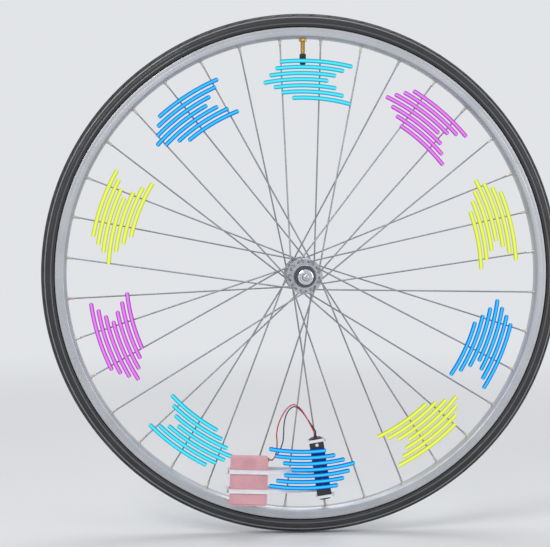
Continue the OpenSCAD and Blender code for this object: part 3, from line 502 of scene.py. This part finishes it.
def camera():
    """The eye of the photograph: to the left of the wheel and above it, the axle right of the middle."""
    data = bpy.data.cameras.new("eye")
    data.sensor_width = 36.0
    data.lens = 91.1
    data.shift_x, data.shift_y = -0.0504, 0.0025
    data.clip_end = 50.0
    eye = bpy.data.objects.new("eye", data)
    away, left, up = 1.8, math.radians(3.79), math.radians(2.86)
    level = away * math.cos(up)
    eye.location = (-level * math.sin(left), -level * math.cos(left), away * math.sin(up))
    eye.rotation_euler = (math.pi / 2 - up, 0, -left)
    bpy.context.scene.collection.objects.link(eye)
    bpy.context.scene.camera = eye


def smooth_path(points):
    """The curve through the points whose pull at each is half the step between its two neighbours."""
    p = np.asarray(points, float)
    a, d = np.concatenate([p[:1], p[:-2]]), np.concatenate([p[2:], p[-1:]])
    b, c = p[:-1], p[1:]
    t = np.linspace(0, 1, PATH_STEPS, endpoint=False)[None, :, None]
    a, b, c, d = (q[:, None] for q in (a, b, c, d))
    curve = 2 * b + t * (c - a) + t ** 2 * (2 * a - 5 * b + 4 * c - d) + t ** 3 * (3 * b - a - 3 * c + d)
    return np.concatenate([0.5 * curve.reshape(-1, 3), p[-1:]])


def lead(name, side, middle, sheath, stands_for):
    """A thin lead from the box's side up in a loop and down into the bar's end, straight at both ends."""
    first = on_box(BOX_ENDS + BOX_W / 2, LEAD_DEPTH + side * LEAD_GAP, LEAD_HEIGHT)
    last = on_bar(side * BAR_LEAD_GAP, BAR_LEAD_DEPTH, BAR_ENDS + BAR_HALF)
    path = smooth_path(np.concatenate([first, middle, last]))
    made = piece(name, tube(path, LEAD_R, LEAD_SIDES), sheath, stands_for=stands_for)


camera()
lead("red_wire", -1, RED_LOOP, RED_SHEATH, "red_lead")
lead("dark_wire", 1, DARK_LOOP, DARK_SHEATH, "black_lead")


# Tyre and rim

# Rows of the tyre's half section: from, to (degrees from the crown) and how many, closer in narrow forms
TYRE_ROWS = [
    (0, 5, 2), (5, 13, 10), (13, 16, 2), (16, 20, 4), (20, 50, 8), (50, 54, 4), (54, 60, 2), (60, 72, 12),
    (72, 76, 2), (76, 82, 6), (82, 89, 2), (89, 101, 10), (101, 112, 3)]
# Cuts in the shoulders: how many, degrees in which one leans by a pitch, depth, columns of points in a pitch,
# which of them are the floor, and the degrees where cuts start and end
CUTS, CUT_LEAN, CUT_DEPTH = 96, 75.0, 1.0
CUT_COLUMNS, CUT_FLOOR = np.array([-0.042, -0.026, 0.026, 0.042, 0.36, 0.68]), 0.03
CUT_STARTS, CUT_ENDS = (16, 20), (50, 54)
# The groove beside the crown: place, sides and depth; the step from tread to wall: place and depth
GROOVE_AT, GROOVE_SIDE, GROOVE_DEPTH = 9, (1.4, 3.2), 0.6
TREAD_EDGE, TREAD_STEP = (60, 62), 0.35
# Ribs of the wall: place, width, height; and where they stop
TYRE_RIBS, RIBS_STOP = ((66.4, 2.0, 0.42), (79, 1.6, 0.22), (95, 2.2, 0.3)), 107
# Radius and depth of the tyre's inside from bead to crown, and of half the rim from inner face to well
TYRE_INSIDE = np.array([
    (317.3, 7.8), (311.1, 7.8), (311.1, 4.8), (317, 6.2), (320, 9.0), (326, 10.0), (331, 5.5), (332.4, 0)])
RIM_SECTION = [
    (RIM_IN, 0), (RIM_IN, 5), (306, 9.55), (307, RIM_HALF), (311.1, RIM_HALF), (311.7, 9.64), (312.3, 9.64),
    (312.9, RIM_HALF), (316.2, RIM_HALF), (RIM_EDGE, 9.3), (RIM_EDGE, 8.1), (316, RIM_HALF - RIM_WALL),
    (BEAD_R, RIM_HALF - RIM_WALL), (BEAD_R, 6.1), (309, 4.5), (309, 0)]
RIM_CORNER, RIM_STEPS = 0.35, 720
# A ferrule and a nipple by radius and height, and the nipple's flats: half width, top, radius of the bore
FERRULE = [(2.05, -0.1), (2.2, -0.55), (2.7, -0.75), (3.2, -0.5), (3.45, 0.05), (3.2, 0.3), (2.1, 0.3)]
NIPPLE = [
    (1.0, -8.0), (1.45, -8.0), (1.75, -7.6), (1.98, -7.0), (1.98, -2.1), (1.98, -1.8), (2.0, -1.4),
    (2.0, 2.6), (1.0, 2.6)]
KEY_FLAT, KEY_TOP, KEY_BORE = 1.62, -1.9, 1.2
FERRULE_STEPS, NIPPLE_STEPS = 20, 24


def tyre():
    """A ring of rubber: r = c + R cos f, y = R sin f outside. R falls in slanted cuts on the shoulders and in
    a groove on each side of the crown, and rises in three ribs on each wall. The columns lean as the cuts do,
    a = u - f / lean, so that the cuts have straight walls; the inside follows the beads and the casing."""
    half = [np.linspace(*span, endpoint=False) for span in TYRE_ROWS]
    half = np.concatenate(half + [TYRE_ROWS[-1][1:2]])
    slope = np.concatenate([-half[:0:-1], half])[None]
    tilt, f = np.abs(slope), np.radians(slope)
    u = (np.arange(CUTS)[:, None] + CUT_COLUMNS).reshape(-1, 1)
    deep = np.tile(np.abs(CUT_COLUMNS) < CUT_FLOOR, CUTS)[:, None]
    cut = deep * ramp(tilt, *CUT_STARTS) * (1 - ramp(tilt, *CUT_ENDS))
    groove = 1 - ramp(np.abs(tilt - GROOVE_AT), *GROOVE_SIDE)
    ribs = sum(high * np.exp(-((tilt - at) / wide) ** 2) for at, wide, high in TYRE_RIBS) * (tilt < RIBS_STOP)
    radius = TYRE_R - CUT_DEPTH * cut - GROOVE_DEPTH * groove + ribs - TREAD_STEP * ramp(tilt, *TREAD_EDGE)
    r, y = TYRE_C + radius * np.cos(f), radius * np.sin(f)
    inside = np.concatenate([TYRE_INSIDE, TYRE_INSIDE[-2::-1] * (1, -1)])
    back = np.linspace(slope[0, -1], slope[0, 0], len(inside) + 2)[1:-1]
    a = (u - np.concatenate([slope[0], back]) / CUT_LEAN) * FULL / CUTS
    size = len(u), len(inside)
    r = np.concatenate([r, np.broadcast_to(inside[:, 0], size)], 1)
    y = np.concatenate([y, np.broadcast_to(inside[:, 1], size)], 1)
    points = np.stack([r * np.sin(a), y, -r * np.cos(a)], -1)
    piece("road_tyre", (points.reshape(-1, 3), quads(*r.shape, True, True)), RUBBER,
          stands_for="tyre", crease=50)


def rim():
    """A hoop: one closed profile round the axle, a shallow wear line in each braked face, and ferrules."""
    corners = np.array(RIM_SECTION + [(r, -y) for r, y in RIM_SECTION[-2:0:-1]])
    hoop = turned(softened(corners, RIM_CORNER, steps=3), RIM_STEPS, CENTRE, OUT, DOWN, None, True)
    start, end = np.concatenate([near_start, far_start]), np.concatenate([near_end, far_end])
    ferrules = around(FERRULE, FERRULE_STEPS, end, unit(end * (1, 0, 1)))
    piece("hoop", join(hoop, ferrules), RIM_ALLOY, stands_for="rim", crease=28)
    nipples(end, unit(end - start))


def nipples(end, way):
    """Small nuts along the spokes: a round collar, a coned tip, and between them four flats for the key, on
    which r = half width / the larger of cos a and sin a."""
    def keyed(a, r, h):
        flat = KEY_FLAT / np.maximum(np.abs(np.cos(a)), np.abs(np.sin(a)))
        return np.where((h < KEY_TOP) & (r > KEY_BORE), np.minimum(r, flat), r + 0 * a)

    grid = around(NIPPLE, NIPPLE_STEPS, end, way, keyed)
    piece("spoke_nuts", grid, NICKEL, stands_for="nipples", crease=30)


tyre()
rim()


# Axle, nuts and valve

# A thread's points in one turn along it, and the bevel of its ends
THREAD_STEPS, THREAD_BEVEL = 8, 0.9
# The axle's thread: pitch, depth and points round it
AXLE_PITCH, AXLE_THREAD, AXLE_STEPS = 1.0, 0.45, 40
# A nut: points round it, blank and face in shares of its half width, height of its edge, bevel of its bore
NUT_STEPS, NUT_BLANK, NUT_FACE, NUT_EDGE, NUT_BEVEL = 72, 1.2, 0.86, 0.05, 0.5
# A nut's corners: which points are trimmed, where the cut of each end starts and how fast it rises
TRIM_SHARE, CORNER_SHARE, CORNER_CUT, CORNER_RISE = 0.9, 1.02, 0.9, 1.7
# Locknut and axle nut: half width, from and to along the axle; the axle nut's flange by radius and place
LOCKNUT, AXLE_NUT = (8.49, 46, 50), (7.53, 59.0, 65)
NUT_FLANGE = [(AXLE_BORE, 57.5), (9.6, 57.5), (9.6, 58.6), (8.4, 59.1), (AXLE_BORE, 59.1)]
NUT_FLANGE_EDGE = 0.3
# The toothed washer: radius, from and to along the axle, edge; number, points, height and reach of its teeth
WASHER_R, WASHER_LOW, WASHER_HIGH, WASHER_EDGE = 9.6, 56, 57.5, 0.25
TEETH, TOOTH_STEPS, TOOTH, TOOTH_FACE, TOOTH_IN = 32, 6, 0.35, 0.3, 1
# The valve by radius and distance inwards from the rim: stem, ring nut, cap
STEM_R, STEM_PITCH, STEM_THREAD, STEM_LOW, STEM_HIGH, STEM_STEPS = 3.0, 0.8, 0.3, -13, 32, 32
RING_NUT, RING_EDGE = [(3.05, 0.05), (5, 0.05), (5, 3.5), (3.05, 3.5)], 0.5
KNURLS, KNURL, KNURL_IN, RING_STEPS = 28, 0.3, 4, 168
DUST_CAP = [
    (3.05, 19.4), (3.6, 19.4), (4.2, 19.9), (4.2, 24), (4.2, 29.4), (4.0, 30.6), (3.4, 32.4), (2.2, 33.25),
    (0.0, 33.35), (0, 32.2), (3.05, 32.2), (3.05, 19.4)]
CAP_RIBS, CAP_RIB, CAP_RIB_SIDE, CAP_RIB_IN, CAP_RIB_TOP, CAP_STEPS = 14, 0.35, (0.35, 0.8), 3.9, 30, 112


def threaded(radius, pitch, depth, low, high, origin, along, steps):
    """A screw thread: the radius falls by a saw of height/pitch minus angle/turn; bevels close the ends."""
    count = int((high - low) / pitch * THREAD_STEPS)
    profile = np.stack([np.full(count, radius), np.linspace(low, high, count)], -1)
    profile = np.concatenate([[(0, low)], profile, [(0, high)]])

    def screwed(a, r, h):
        saw = wave(h / pitch - a / FULL)
        end = np.minimum(np.minimum(h - low, high - h), THREAD_BEVEL)
        return np.where(r > 0, r - np.maximum(depth * saw, THREAD_BEVEL - end), 0), h

    return turned(profile, steps, origin, along, RIGHT, screwed)


def nut(half, low, high, side):
    """A nut on the axle: a closed ring trimmed to six flats, r = half width / cos of the angle from the
    nearest flat, with each end's corners cut back."""
    blank, face, bore = half * NUT_BLANK, half * NUT_FACE, AXLE_BORE
    profile = [
        (bore, low), (face, low), (blank, low + NUT_EDGE), (blank, (low + high) / 2),
        (blank, high - NUT_EDGE), (face, high), (bore + NUT_BEVEL, high), (bore, high - NUT_BEVEL)]

    def hexed(a, r, h):
        flat = half / np.cos((a % (FULL / 6)) - FULL / 12)
        cut = half * CORNER_SHARE + np.minimum(h - low, high - h) * CORNER_RISE - CORNER_CUT
        return np.where(r > half * TRIM_SHARE, np.minimum(np.minimum(r, flat), cut), r), h

    return turned(profile, NUT_STEPS, CENTRE, (0, side, 0), RIGHT, hexed, True)


def washer(side):
    """A washer with a ring of teeth on its inner face, whose height is a saw of the angle."""
    low, high = WASHER_LOW, WASHER_HIGH
    corners = [(AXLE_BORE, low), (WASHER_R, low), (WASHER_R, high), (AXLE_BORE, high)]

    def toothed(a, r, h):
        bite = TOOTH * wave(a * TEETH / FULL)
        return r, np.where((h < low + TOOTH_FACE) & (r > AXLE_BORE + TOOTH_IN), h + bite, h)

    profile = softened(corners, WASHER_EDGE, steps=3)
    return turned(profile, TOOTH_STEPS * TEETH, CENTRE, (0, side, 0), RIGHT, toothed, True)


def axle_set():
    """The threaded axle, and on each end locknut, serrated washer and flanged nut."""
    rod = threaded(AXLE_R, AXLE_PITCH, AXLE_THREAD, -AXLE_HALF, AXLE_HALF, CENTRE, AXLE_WAY, AXLE_STEPS)
    piece("threaded_rod", rod, ZINC, "axle_set", "axle", crease=60)
    flange = softened(NUT_FLANGE, NUT_FLANGE_EDGE, steps=4)
    for side, word in ((-1, "left"), (1, "right")):
        lock = nut(*LOCKNUT, side)
        piece(word + "_lock", lock, ZINC, "axle_set", word + "_locknut", crease=25)
        plate = turned(flange, NUT_STEPS, CENTRE, (0, side, 0), RIGHT, None, True)
        flanged = join(plate, nut(*AXLE_NUT, side))
        piece(word + "_nut", flanged, CHROME, "axle_set", word + "_axle_nut", crease=25)
    plates = join(washer(-1), washer(1))
    piece("toothed_washers", plates, ZINC, "axle_set", "serrated_washers", crease=25)


def valve():
    """A threaded stem, a knurled ring nut and a ribbed dust cap; knurls and ribs are saws of the angle taken
    off the radius."""
    top = (0, 0, RIM_IN)
    stem = threaded(STEM_R, STEM_PITCH, STEM_THREAD, STEM_LOW, STEM_HIGH, top, DOWN, STEM_STEPS)
    piece("stem", stem, BRASS, stands_for="valve_stem", crease=60)

    def knurled(a, r, h):
        return np.where(r > KNURL_IN, r - KNURL * wave(a * KNURLS / FULL), r + 0 * a), h

    ring = turned(softened(RING_NUT, RING_EDGE, steps=3), RING_STEPS, top, DOWN, RIGHT, knurled, True)
    piece("ring_nut", ring, BRASS, stands_for="valve_nut", crease=35)

    def ribbed(a, r, h):
        rib = CAP_RIB * ramp(wave(a * CAP_RIBS / FULL), *CAP_RIB_SIDE)
        return np.where((r > CAP_RIB_IN) & (h < CAP_RIB_TOP), r - rib, r + 0 * a), h

    cap = turned(DUST_CAP, CAP_STEPS, top, DOWN, RIGHT, ribbed)
    piece("dust_cap", cap, SOFT_RUBBER, stands_for="valve_cap", crease=35)


axle_set()
valve()


# Straps

# A strap: points along it, reach of its bends, bevels inside and outside, height of its rails; their edges
# and the toothed width in shares of the half width, and the teeth's height
BAND_STEPS, BEND_REACH = 1000, 1.6
INNER_BEVEL, INNER_EDGE, OUTER_BEVEL, RAIL = 0.3, 0.15, 0.25, 0.2
RAIL_TOP, RAIL_FOOT, TOOTHED, STRAP_TOOTH = 0.72, 0.66, 0.7, 0.16
# A strap's head: its edges, its lip in shares of the block, and how lip and tail stand in it
HEAD_EDGE, LIP_EDGE = 0.7, 0.3
LIP_A, LIP_B, LIP_C, LIP_OUT, TAIL_C, TAIL_IN, TAIL_SHIFT = 0.72, 0.5, 0.78, 0.1, 0.66, 0.5, 0.4
# Wide and thin straps: width, tooth pitch, head's size, tail's length, and place along the box and the bar
WIDE, WIDE_PITCH, WIDE_HEAD, WIDE_TAIL, WIDE_AT = 5.4, 1.5, (5, 7.4, 8), 5, 12.5
THIN, THIN_PITCH, THIN_HEAD, THIN_TAIL, THIN_AT = 3.6, 1.2, (4, 5.2, 5.4), 3, BAR_HALF - 3.6
# Where a wide strap crosses the box's spoke: how far it runs to each side, its rise over it and before it
OVER, OVER_RISE, BEFORE_RISE = 6, 0.4, 0.55


def band(loop, width, pitch, z, place):
    """A strap round a closed outline: the outline is laid out evenly and smoothed, and a section with raised
    rails and a toothed middle is carried along it, offset along the outline's outward normal."""
    p = np.asarray(loop, float)
    step = np.linalg.norm(np.roll(p, -1, 0) - p, axis=1)
    along = np.concatenate([[0], np.cumsum(step)])
    s = np.linspace(0, along[-1], BAND_STEPS, endpoint=False)
    closed = np.concatenate([p, p[:1]])
    line = np.stack([np.interp(s, along, closed[:, 0]), np.interp(s, along, closed[:, 1])], -1)
    reach = max(3, int(BEND_REACH / along[-1] * BAND_STEPS))
    window = np.hanning(2 * reach + 1)
    kernel = np.zeros(BAND_STEPS)
    kernel[np.arange(-reach, reach + 1)] = window / window.sum()
    line = np.fft.ifft(np.fft.fft(line, axis=0) * np.fft.fft(kernel)[:, None], axis=0).real
    way = unit(np.roll(line, -1, 0) - np.roll(line, 1, 0))
    out = np.stack([way[:, 1], -way[:, 0]], -1)
    w, low = width / 2, STRAP_T - RAIL
    half = np.array([
        (0.0, w - INNER_BEVEL), (INNER_EDGE, w), (low, w), (STRAP_T, w - OUTER_BEVEL),
        (STRAP_T, w * RAIL_TOP), (low, w * RAIL_FOOT)])
    section = np.roll(np.concatenate([half, half[::-1] * (1, -1)]), 1, 0)
    toothed = (np.abs(section[:, 1]) < w * TOOTHED) & (section[:, 0] > STRAP_T / 2)
    depth = section[None, :, 0] + STRAP_TOOTH * wave(s / pitch)[:, None] * toothed[None]
    flat = line[:, None] + depth[..., None] * out[:, None]
    points = place(flat[..., 0], flat[..., 1], z + section[:, 1])
    return points.reshape(-1, 3), quads(BAND_STEPS, len(section), True, True)


def head(size, tail, x, y, z, side, place):
    """A ratchet head: a round-edged block with a raised lip at its mouth, and the strap's cut tail."""
    a, b, c = np.asarray(size) / 2
    middle = x + side * a
    block = brick((a, b, c), HEAD_EDGE, place, (middle, y, z))
    lip = brick((a * LIP_A, LIP_B, c * LIP_C), LIP_EDGE, place, (middle, y - b - LIP_OUT, z))
    rest = brick((STRAP_T / 2, tail / 2 + TAIL_IN, c * TAIL_C), LIP_EDGE, place,
                 (x + side * (a + STRAP_T / 2), y - b - tail / 2 + TAIL_SHIFT, z))
    return join(block, lip, rest)


def crossing(spoke, z):
    """Where a spoke crosses a line across the box: place along the line and depth, in the box's frame."""
    start, end = spoke
    c, s = math.cos(BOX_TURN), math.sin(BOX_TURN)
    u = [(p[0] - box_x) * c + (p[2] - box_z) * s for p in (start, end)]
    n = [(p[2] - box_z) * c - (p[0] - box_x) * s for p in (start, end)]
    t = (z - n[0]) / (n[1] - n[0])
    return u[0] + t * (u[1] - u[0]), start[1] + t * (end[1] - start[1]) - unit_y


def straps():
    """Two wide straps hold the box to two spokes, two thin ones the bar to its own, along the solids'
    outlines; the wide ones allow for the slant of the bar's spoke."""
    skew, dip, back = WIDE / 2 * math.tan(bar_turn - BOX_TURN), WIDE / 2 * bar_way[1], SPOKE_R + CLEAR
    for z, word in ((WIDE_AT, "inner"), (-WIDE_AT, "outer")):
        ua, ya = crossing(box_spoke, z)
        ub, yb = crossing(bar_spoke, z)
        ub += skew
        side, low, high = BOX_W / 2 + GAP, yb - back - dip, yb + back + dip
        loop = [
            (-side, -BOX_D - GAP), (side, -BOX_D - GAP), (ub - 2 * skew - back / 2, low),
            (ub + back / 2, low), (ub + back, yb), (ub + back / 2, high), (ua + OVER, ya + back + OVER_RISE),
            (ua, ya + back + OVER_RISE), (ua - OVER, ya + BEFORE_RISE), (-side, GAP)]
        grid = join(band(loop, WIDE, WIDE_PITCH, z, on_box),
                    head(WIDE_HEAD, WIDE_TAIL, -side - STRAP_T / 2, -BOX_D / 2, z, -1, on_box))
        piece(word + "_wide_strap", grid, NYLON, stands_for=word + "_box_strap", crease=35)
    for z, word in ((THIN_AT, "inner"), (-THIN_AT, "outer")):
        y = bar_mid[1] - z * bar_way[1] - bar_y
        side = BAR_W / 2 + GAP
        loop = [
            (-side, -BAR_D - GAP), (side, -BAR_D - GAP), (side, GAP), (back, y + back / 3),
            (back / 2, y + back), (-back / 2, y + back), (-back, y + back / 3), (-side, GAP)]
        grid = join(band(loop, THIN, THIN_PITCH, z, on_bar),
                    head(THIN_HEAD, THIN_TAIL, side + STRAP_T / 2, -BAR_D / 2, z, 1, on_bar))
        piece(word + "_thin_strap", grid, NYLON, stands_for=word + "_bar_strap", crease=35)


straps()


# Battery box and light bar

# A diode's foot by radius and height, the points of its dome and round it
LED_FOOT, DOME_STEPS, LED_STEPS = [(0, 0), (2.9, 0), (2.9, 1.0), (LED_R, 1.0)], 12, 32
# The button by radius and distance before the bar's back, its place along the bar, points round it
BUTTON_SECTION = [
    (0, 10.65), (2.9, 10.65), (2.9, 11.35), (2.2, 11.35), (2.2, 13.5), (1.9, 13.85), (1.3, 13.75), (0, 13.6)]
BUTTON_AT, BUTTON_STEPS = 31.0, 40
# A screw by radius and depth, points round it, and its cross slot: half width, depth, reach, least depth
SCREW = [
    (0, 10.5), (0.9, 10.5), (0.9, 1.2), (1.6, 1.2), (1.6, 0.25), (1.4, 0.05), (1.0, 0.0), (0.75, 0.0),
    (0.5, 0.0), (0.25, 0.0), (0.0, 0.0)]
SCREW_STEPS, SLOT_HALF, SLOT_DEPTH, SLOT_REACH, SLOT_FACE = 48, 0.22, 0.5, 1.05, 0.02
SCREW_X, SCREW_Z = 5.9, 30.8


def shells():
    """The moulded shells of box and bar with rounded edges; the cells and contacts keep their solids."""
    eased("box_base", BOX_PLASTIC, width=0.45)
    eased("box_cover", BOX_PLASTIC, width=0.18, body="cover")
    eased("bar_back_shell", BAR_PLASTIC, width=0.35)
    eased("bar_front_shell", BAR_PLASTIC, width=0.3)


def diodes():
    """Seven lit diodes: foot, stem and dome turned about a middle line; the core value rises with height."""
    z = LED_PITCH * (LEDS // 2 - np.arange(LEDS))
    f = np.linspace(0, np.pi / 2, DOME_STEPS)
    dome = np.stack([LED_R * np.cos(f), LED_H - LED_R + LED_R * np.sin(f)], -1)
    profile = np.concatenate([LED_FOOT, dome])
    lamps = join(*(turned(profile, LED_STEPS, on_bar(0.0, -BOARD_FRONT, h), OUT, across_bar) for h in z))
    glow = np.tile(np.clip(profile[:, 1] / LED_H, 0, 1), LED_STEPS * LEDS)
    piece("lamps", lamps, LIT_RESIN, stands_for="diodes", crease=35, core=glow)


def button():
    """The button: a flanged plunger with a dished top, turned about its middle."""
    grid = turned(BUTTON_SECTION, BUTTON_STEPS, on_bar(0.0, 0.0, BUTTON_AT), OUT, across_bar)
    piece("push_button", grid, BUTTON, "button", "mode_button", crease=35)


def screws():
    """Four screws in the bar's back: a shank, and a round head whose face sinks along a cross."""
    def crossed(a, r, h):
        arm = np.minimum(np.abs(np.sin(a)), np.abs(np.cos(a))) * r < SLOT_HALF
        sunk = arm & (h < SLOT_FACE) & (r < SLOT_REACH)
        return r + 0 * a, np.where(sunk, SLOT_DEPTH, h + 0 * a)

    places = [on_bar(x, 0.0, z) for x in (-SCREW_X, SCREW_X) for z in (SCREW_Z, -SCREW_Z)]
    grid = join(*(turned(SCREW, SCREW_STEPS, p, OUT, across_bar, crossed) for p in places))
    piece("cross_screws", grid, ZINC, stands_for="bar_screws", crease=30)


shells()
diodes()
button()
screws()


# Light that the bar draws

FIGURE_LIGHTS = [BLUE, YELLOW, MAGENTA, CYAN] * 2 + [BLUE, YELLOW]
# The first figure's middle and the step to the next, in degrees, and which figure lies lowest, on the diodes
FIGURE_FIRST, FIGURE_STEP, LOWEST = 67.4, 36.5, 8
# Strokes in a figure, one for each diode; points round one, in its end and along it; length in degrees,
# half width and half thickness
STROKES, STROKE_SIDES, END_STEPS, RUN_STEPS = LEDS, 14, 7, 25
STROKE_SPAN, STROKE_WIDE, STROKE_THICK = 19.2, 2.75, 1.3
# The chevron in degrees: start of its outer stroke, how far back its inner one starts, and its point
CHEVRON_START, CHEVRON_SLANT, CHEVRON_POINT = -9.7, 2.0, 7.0
# The diodes' circle lies before the spokes, so from the front it shows larger and shifted to one side. The
# strokes on the spokes repeat that: the side in degrees, turn, growth and shift
SHIFT_TO, SHIFT_TURN, SHIFT_GROWTH, SHIFT = 62, 0.74, 1.0125, 3.2
# The lowest figure's turn, how far it lies before the diodes, and the line across the box where it ends
LOWEST_TURN, LOWEST_OUT, BOX_SIDE = 0.4, 0.6, 45.4
# How near the spokes pass the axle, how far the strokes lie before them and reach past the last one
SPOKE_PASS, ON_SPOKE, PAST_SPOKE = 16.9, 1.6, 0.4


def figures():
    """Ten chevrons of seven strokes. A stroke is an oval carried along an arc about the axle, smaller to
    nothing at each end. It lies on the near spokes, whose depth is linear in the radius, and is drawn out to
    the next spoke where it would end short. The lowest figure lies on the diodes, clear of the box."""
    i = np.arange(STROKES)[:, None, None]
    last, mid = STROKES - 1, STROKES // 2
    bend, run = np.linspace(0, np.pi / 2, END_STEPS), np.linspace(0, 1, RUN_STEPS + 2)[1:-1]
    ends = np.concatenate([1 - np.cos(bend), 1 + 0 * run, 1 + np.sin(bend)])[None, :, None]
    share = np.concatenate([0 * bend, run, 1 + 0 * bend])[None, :, None]
    taper = np.concatenate([np.sin(bend), 1 + 0 * run, np.cos(bend)])[None, :, None]
    along = len(bend) * 2 + len(run)
    a = turns(STROKE_SIDES)[None, None]
    drawn = LED_MID_R + LED_PITCH * (i - mid)
    first = CHEVRON_START - CHEVRON_SLANT * (1 - i / last) + CHEVRON_POINT * (1 - np.abs(i - mid) / mid)
    core = np.broadcast_to(np.abs(np.cos(a)), (STROKES, along, STROKE_SIDES))
    faces = quads(along, STROKE_SIDES, False, True)
    spokes = np.arange(SPOKES)[None, None]
    lean = np.where(spokes % 2 == 0, 1, -1)
    fall = near_start[1, 1] - near_end[1, 1]
    for k, light in enumerate(FIGURE_LIGHTS):
        middle = FIGURE_FIRST + FIGURE_STEP * k - 360 * (k >= LOWEST)
        if k == LOWEST:
            start = middle + LOWEST_TURN + first
            end = start + STROKE_SPAN
            radius, y = drawn, bar_y - BOARD_FRONT - LED_H - LOWEST_OUT
            start = np.maximum(start, -np.degrees(np.arcsin(BOX_SIDE / radius)))
        else:
            off = math.radians(SHIFT_TO - middle)
            start = middle + SHIFT_TURN * math.sin(off) + first
            end = start + STROKE_SPAN
            radius = SHIFT_GROWTH * drawn + SHIFT * math.cos(off)
            y = near_end[1, 1] + fall * (RIM_IN - radius) / (RIM_IN - HOLE_R) - ON_SPOKE
            slant = np.degrees(np.arcsin(SPOKE_PASS / radius) - np.arcsin(SPOKE_PASS / RIM_IN))
            at = RIM_START + PITCH * spokes - lean * slant
            late = ((at - start) % 360).min(-1, keepdims=True) - STROKE_SPAN
            early = ((start - at) % 360).min(-1, keepdims=True)
            end = end + np.where((late > 0) & (late <= early), late + PAST_SPOKE, 0)
            start = start - np.where((late > 0) & (late > early), early + PAST_SPOKE, 0)
        cap = np.degrees(STROKE_WIDE / radius)
        angle = np.radians(start + cap * ends + (end - start - 2 * cap) * share)
        r = radius + STROKE_WIDE * taper * np.sin(a)
        y = y - STROKE_THICK * taper * np.cos(a)
        points = np.stack(np.broadcast_arrays(r * np.sin(angle), y, -r * np.cos(angle)), -1)
        grid = repeated(points.reshape(STROKES, -1, 3), faces)
        piece("figure_%d" % k, grid, light, core=core, crease=60)


figures()


# Finishes of the solids that show as they are

for finish_of, names in (
        (DARK_STEEL, ("left_cone", "right_cone", "left_dust_cap", "right_dust_cap")),
        (HUB_ALLOY, ("hub_shell",)), (ZINC, ("lock_washers",)),
        (CHROME, ("left_bearing_balls", "right_bearing_balls")),
        (SPOKE_STEEL, ("left_inner_spokes", "left_outer_spokes", "right_inner_spokes", "right_outer_spokes")),
        (SOFT_RUBBER, ("inner_tube", "box_grommet", "bar_grommet")), (TAPE, ("rim_tape",)),
        (BRASS, ("contact_springs", "contact_plates")), (SLEEVE, ("cells",)), (SEAL, ("bar_seal",)),
        (BOARD, ("circuit_board",)),
        (MOULDED, ("controller_chip", "board_parts", "button_switch")), (NICKEL, ("motion_switch",))):
    for name in names:
        NODES[name].data.materials.clear()
        NODES[name].data.materials.append(finish_of)


# Floor and light

# The room's colour, its strength on the object, and how much more of it is seen
ROOM, ROOM_LIGHT, ROOM_SEEN = (0.95, 0.97, 1.0, 1.0), 0.35, 0.45
# The floor in metres: half width, height, where it fades into the room; its colour and roughness
FLOOR_REACH, FLOOR_AT, FLOOR_FADE = 60.0, -0.3362, (0.45, 2.4)
FLOOR_COLOUR, FLOOR_ROUGH = (228, 229, 231), 0.9
# Lamps: name, place, aim, size in metres and power in watts
LAMPS = (
    ("key", (-1.6, -1.9, 1.7), (0, 0, 0), 1.4, 42),
    ("fill", (1.9, -1.6, 0.6), (0, 0, 0), 1.6, 18),
    ("top", (0.2, 0.6, 2.2), (0, 0.3, 0), 1.6, 24))


def room_light(tree):
    """Strength of the room's light: less on the object, more where the eye, a mirror or a glass sees it."""
    ray = node(tree, "LightPath").outputs
    mirror = sums(tree, "MAXIMUM", ray["Is Glossy Ray"], ray["Is Transmission Ray"])
    seen = sums(tree, "MAXIMUM", ray["Is Camera Ray"], mirror)
    return sums(tree, "ADD", sums(tree, "MULTIPLY", seen, ROOM_SEEN), ROOM_LIGHT)


def stage():
    """A flat pale floor, matt near the wheel, that fades into the room's own light far from it."""
    corners = [(x * FLOOR_REACH, y * FLOOR_REACH, FLOOR_AT) for x, y in ((-1, -1), (1, -1), (1, 1), (-1, 1))]
    mesh = bpy.data.meshes.new("floor")
    mesh.from_pydata(corners, [], [(0, 1, 2, 3)])
    paper, tree, shader = fresh("paper", Base_Color=linear(FLOOR_COLOUR), Roughness=FLOOR_ROUGH)
    away = length_of(tree, in_place(tree))
    far = spread(tree, away, FLOOR_FADE, interpolation_type="SMOOTHSTEP")
    glow = node(tree, "Emission", {"Color": ROOM, "Strength": room_light(tree)}).outputs[0]
    both = node(tree, "MixShader", {0: far, 1: shader.outputs[0], 2: glow}).outputs[0]
    tree.links.new(both, tree.nodes["Material Output"].inputs["Surface"])
    mesh.materials.append(paper)
    floor = bpy.data.objects.new("floor", mesh)
    bpy.context.scene.collection.objects.link(floor)
    world = bpy.data.worlds.new("room")
    world.use_nodes = True
    back = world.node_tree.nodes["Background"]
    back.inputs["Color"].default_value = ROOM
    world.node_tree.links.new(room_light(world.node_tree), back.inputs["Strength"])
    bpy.context.scene.world = world


def lamp(name, place, aim, size, power):
    """A soft square light that faces its aim."""
    data = bpy.data.lights.new(name, "AREA")
    data.size, data.energy = size, power
    made = bpy.data.objects.new(name, data)
    x, y, z = np.asarray(aim, float) - np.asarray(place, float)
    rise, turn = math.atan2(z, math.hypot(x, y)), math.atan2(y, x)
    made.location = place
    made.rotation_euler = (math.pi / 2 + rise, 0, turn - math.pi / 2)
    bpy.context.scene.collection.objects.link(made)


stage()
for values in LAMPS:
    lamp(*values)
bpy.context.scene.view_settings.view_transform = "Standard"
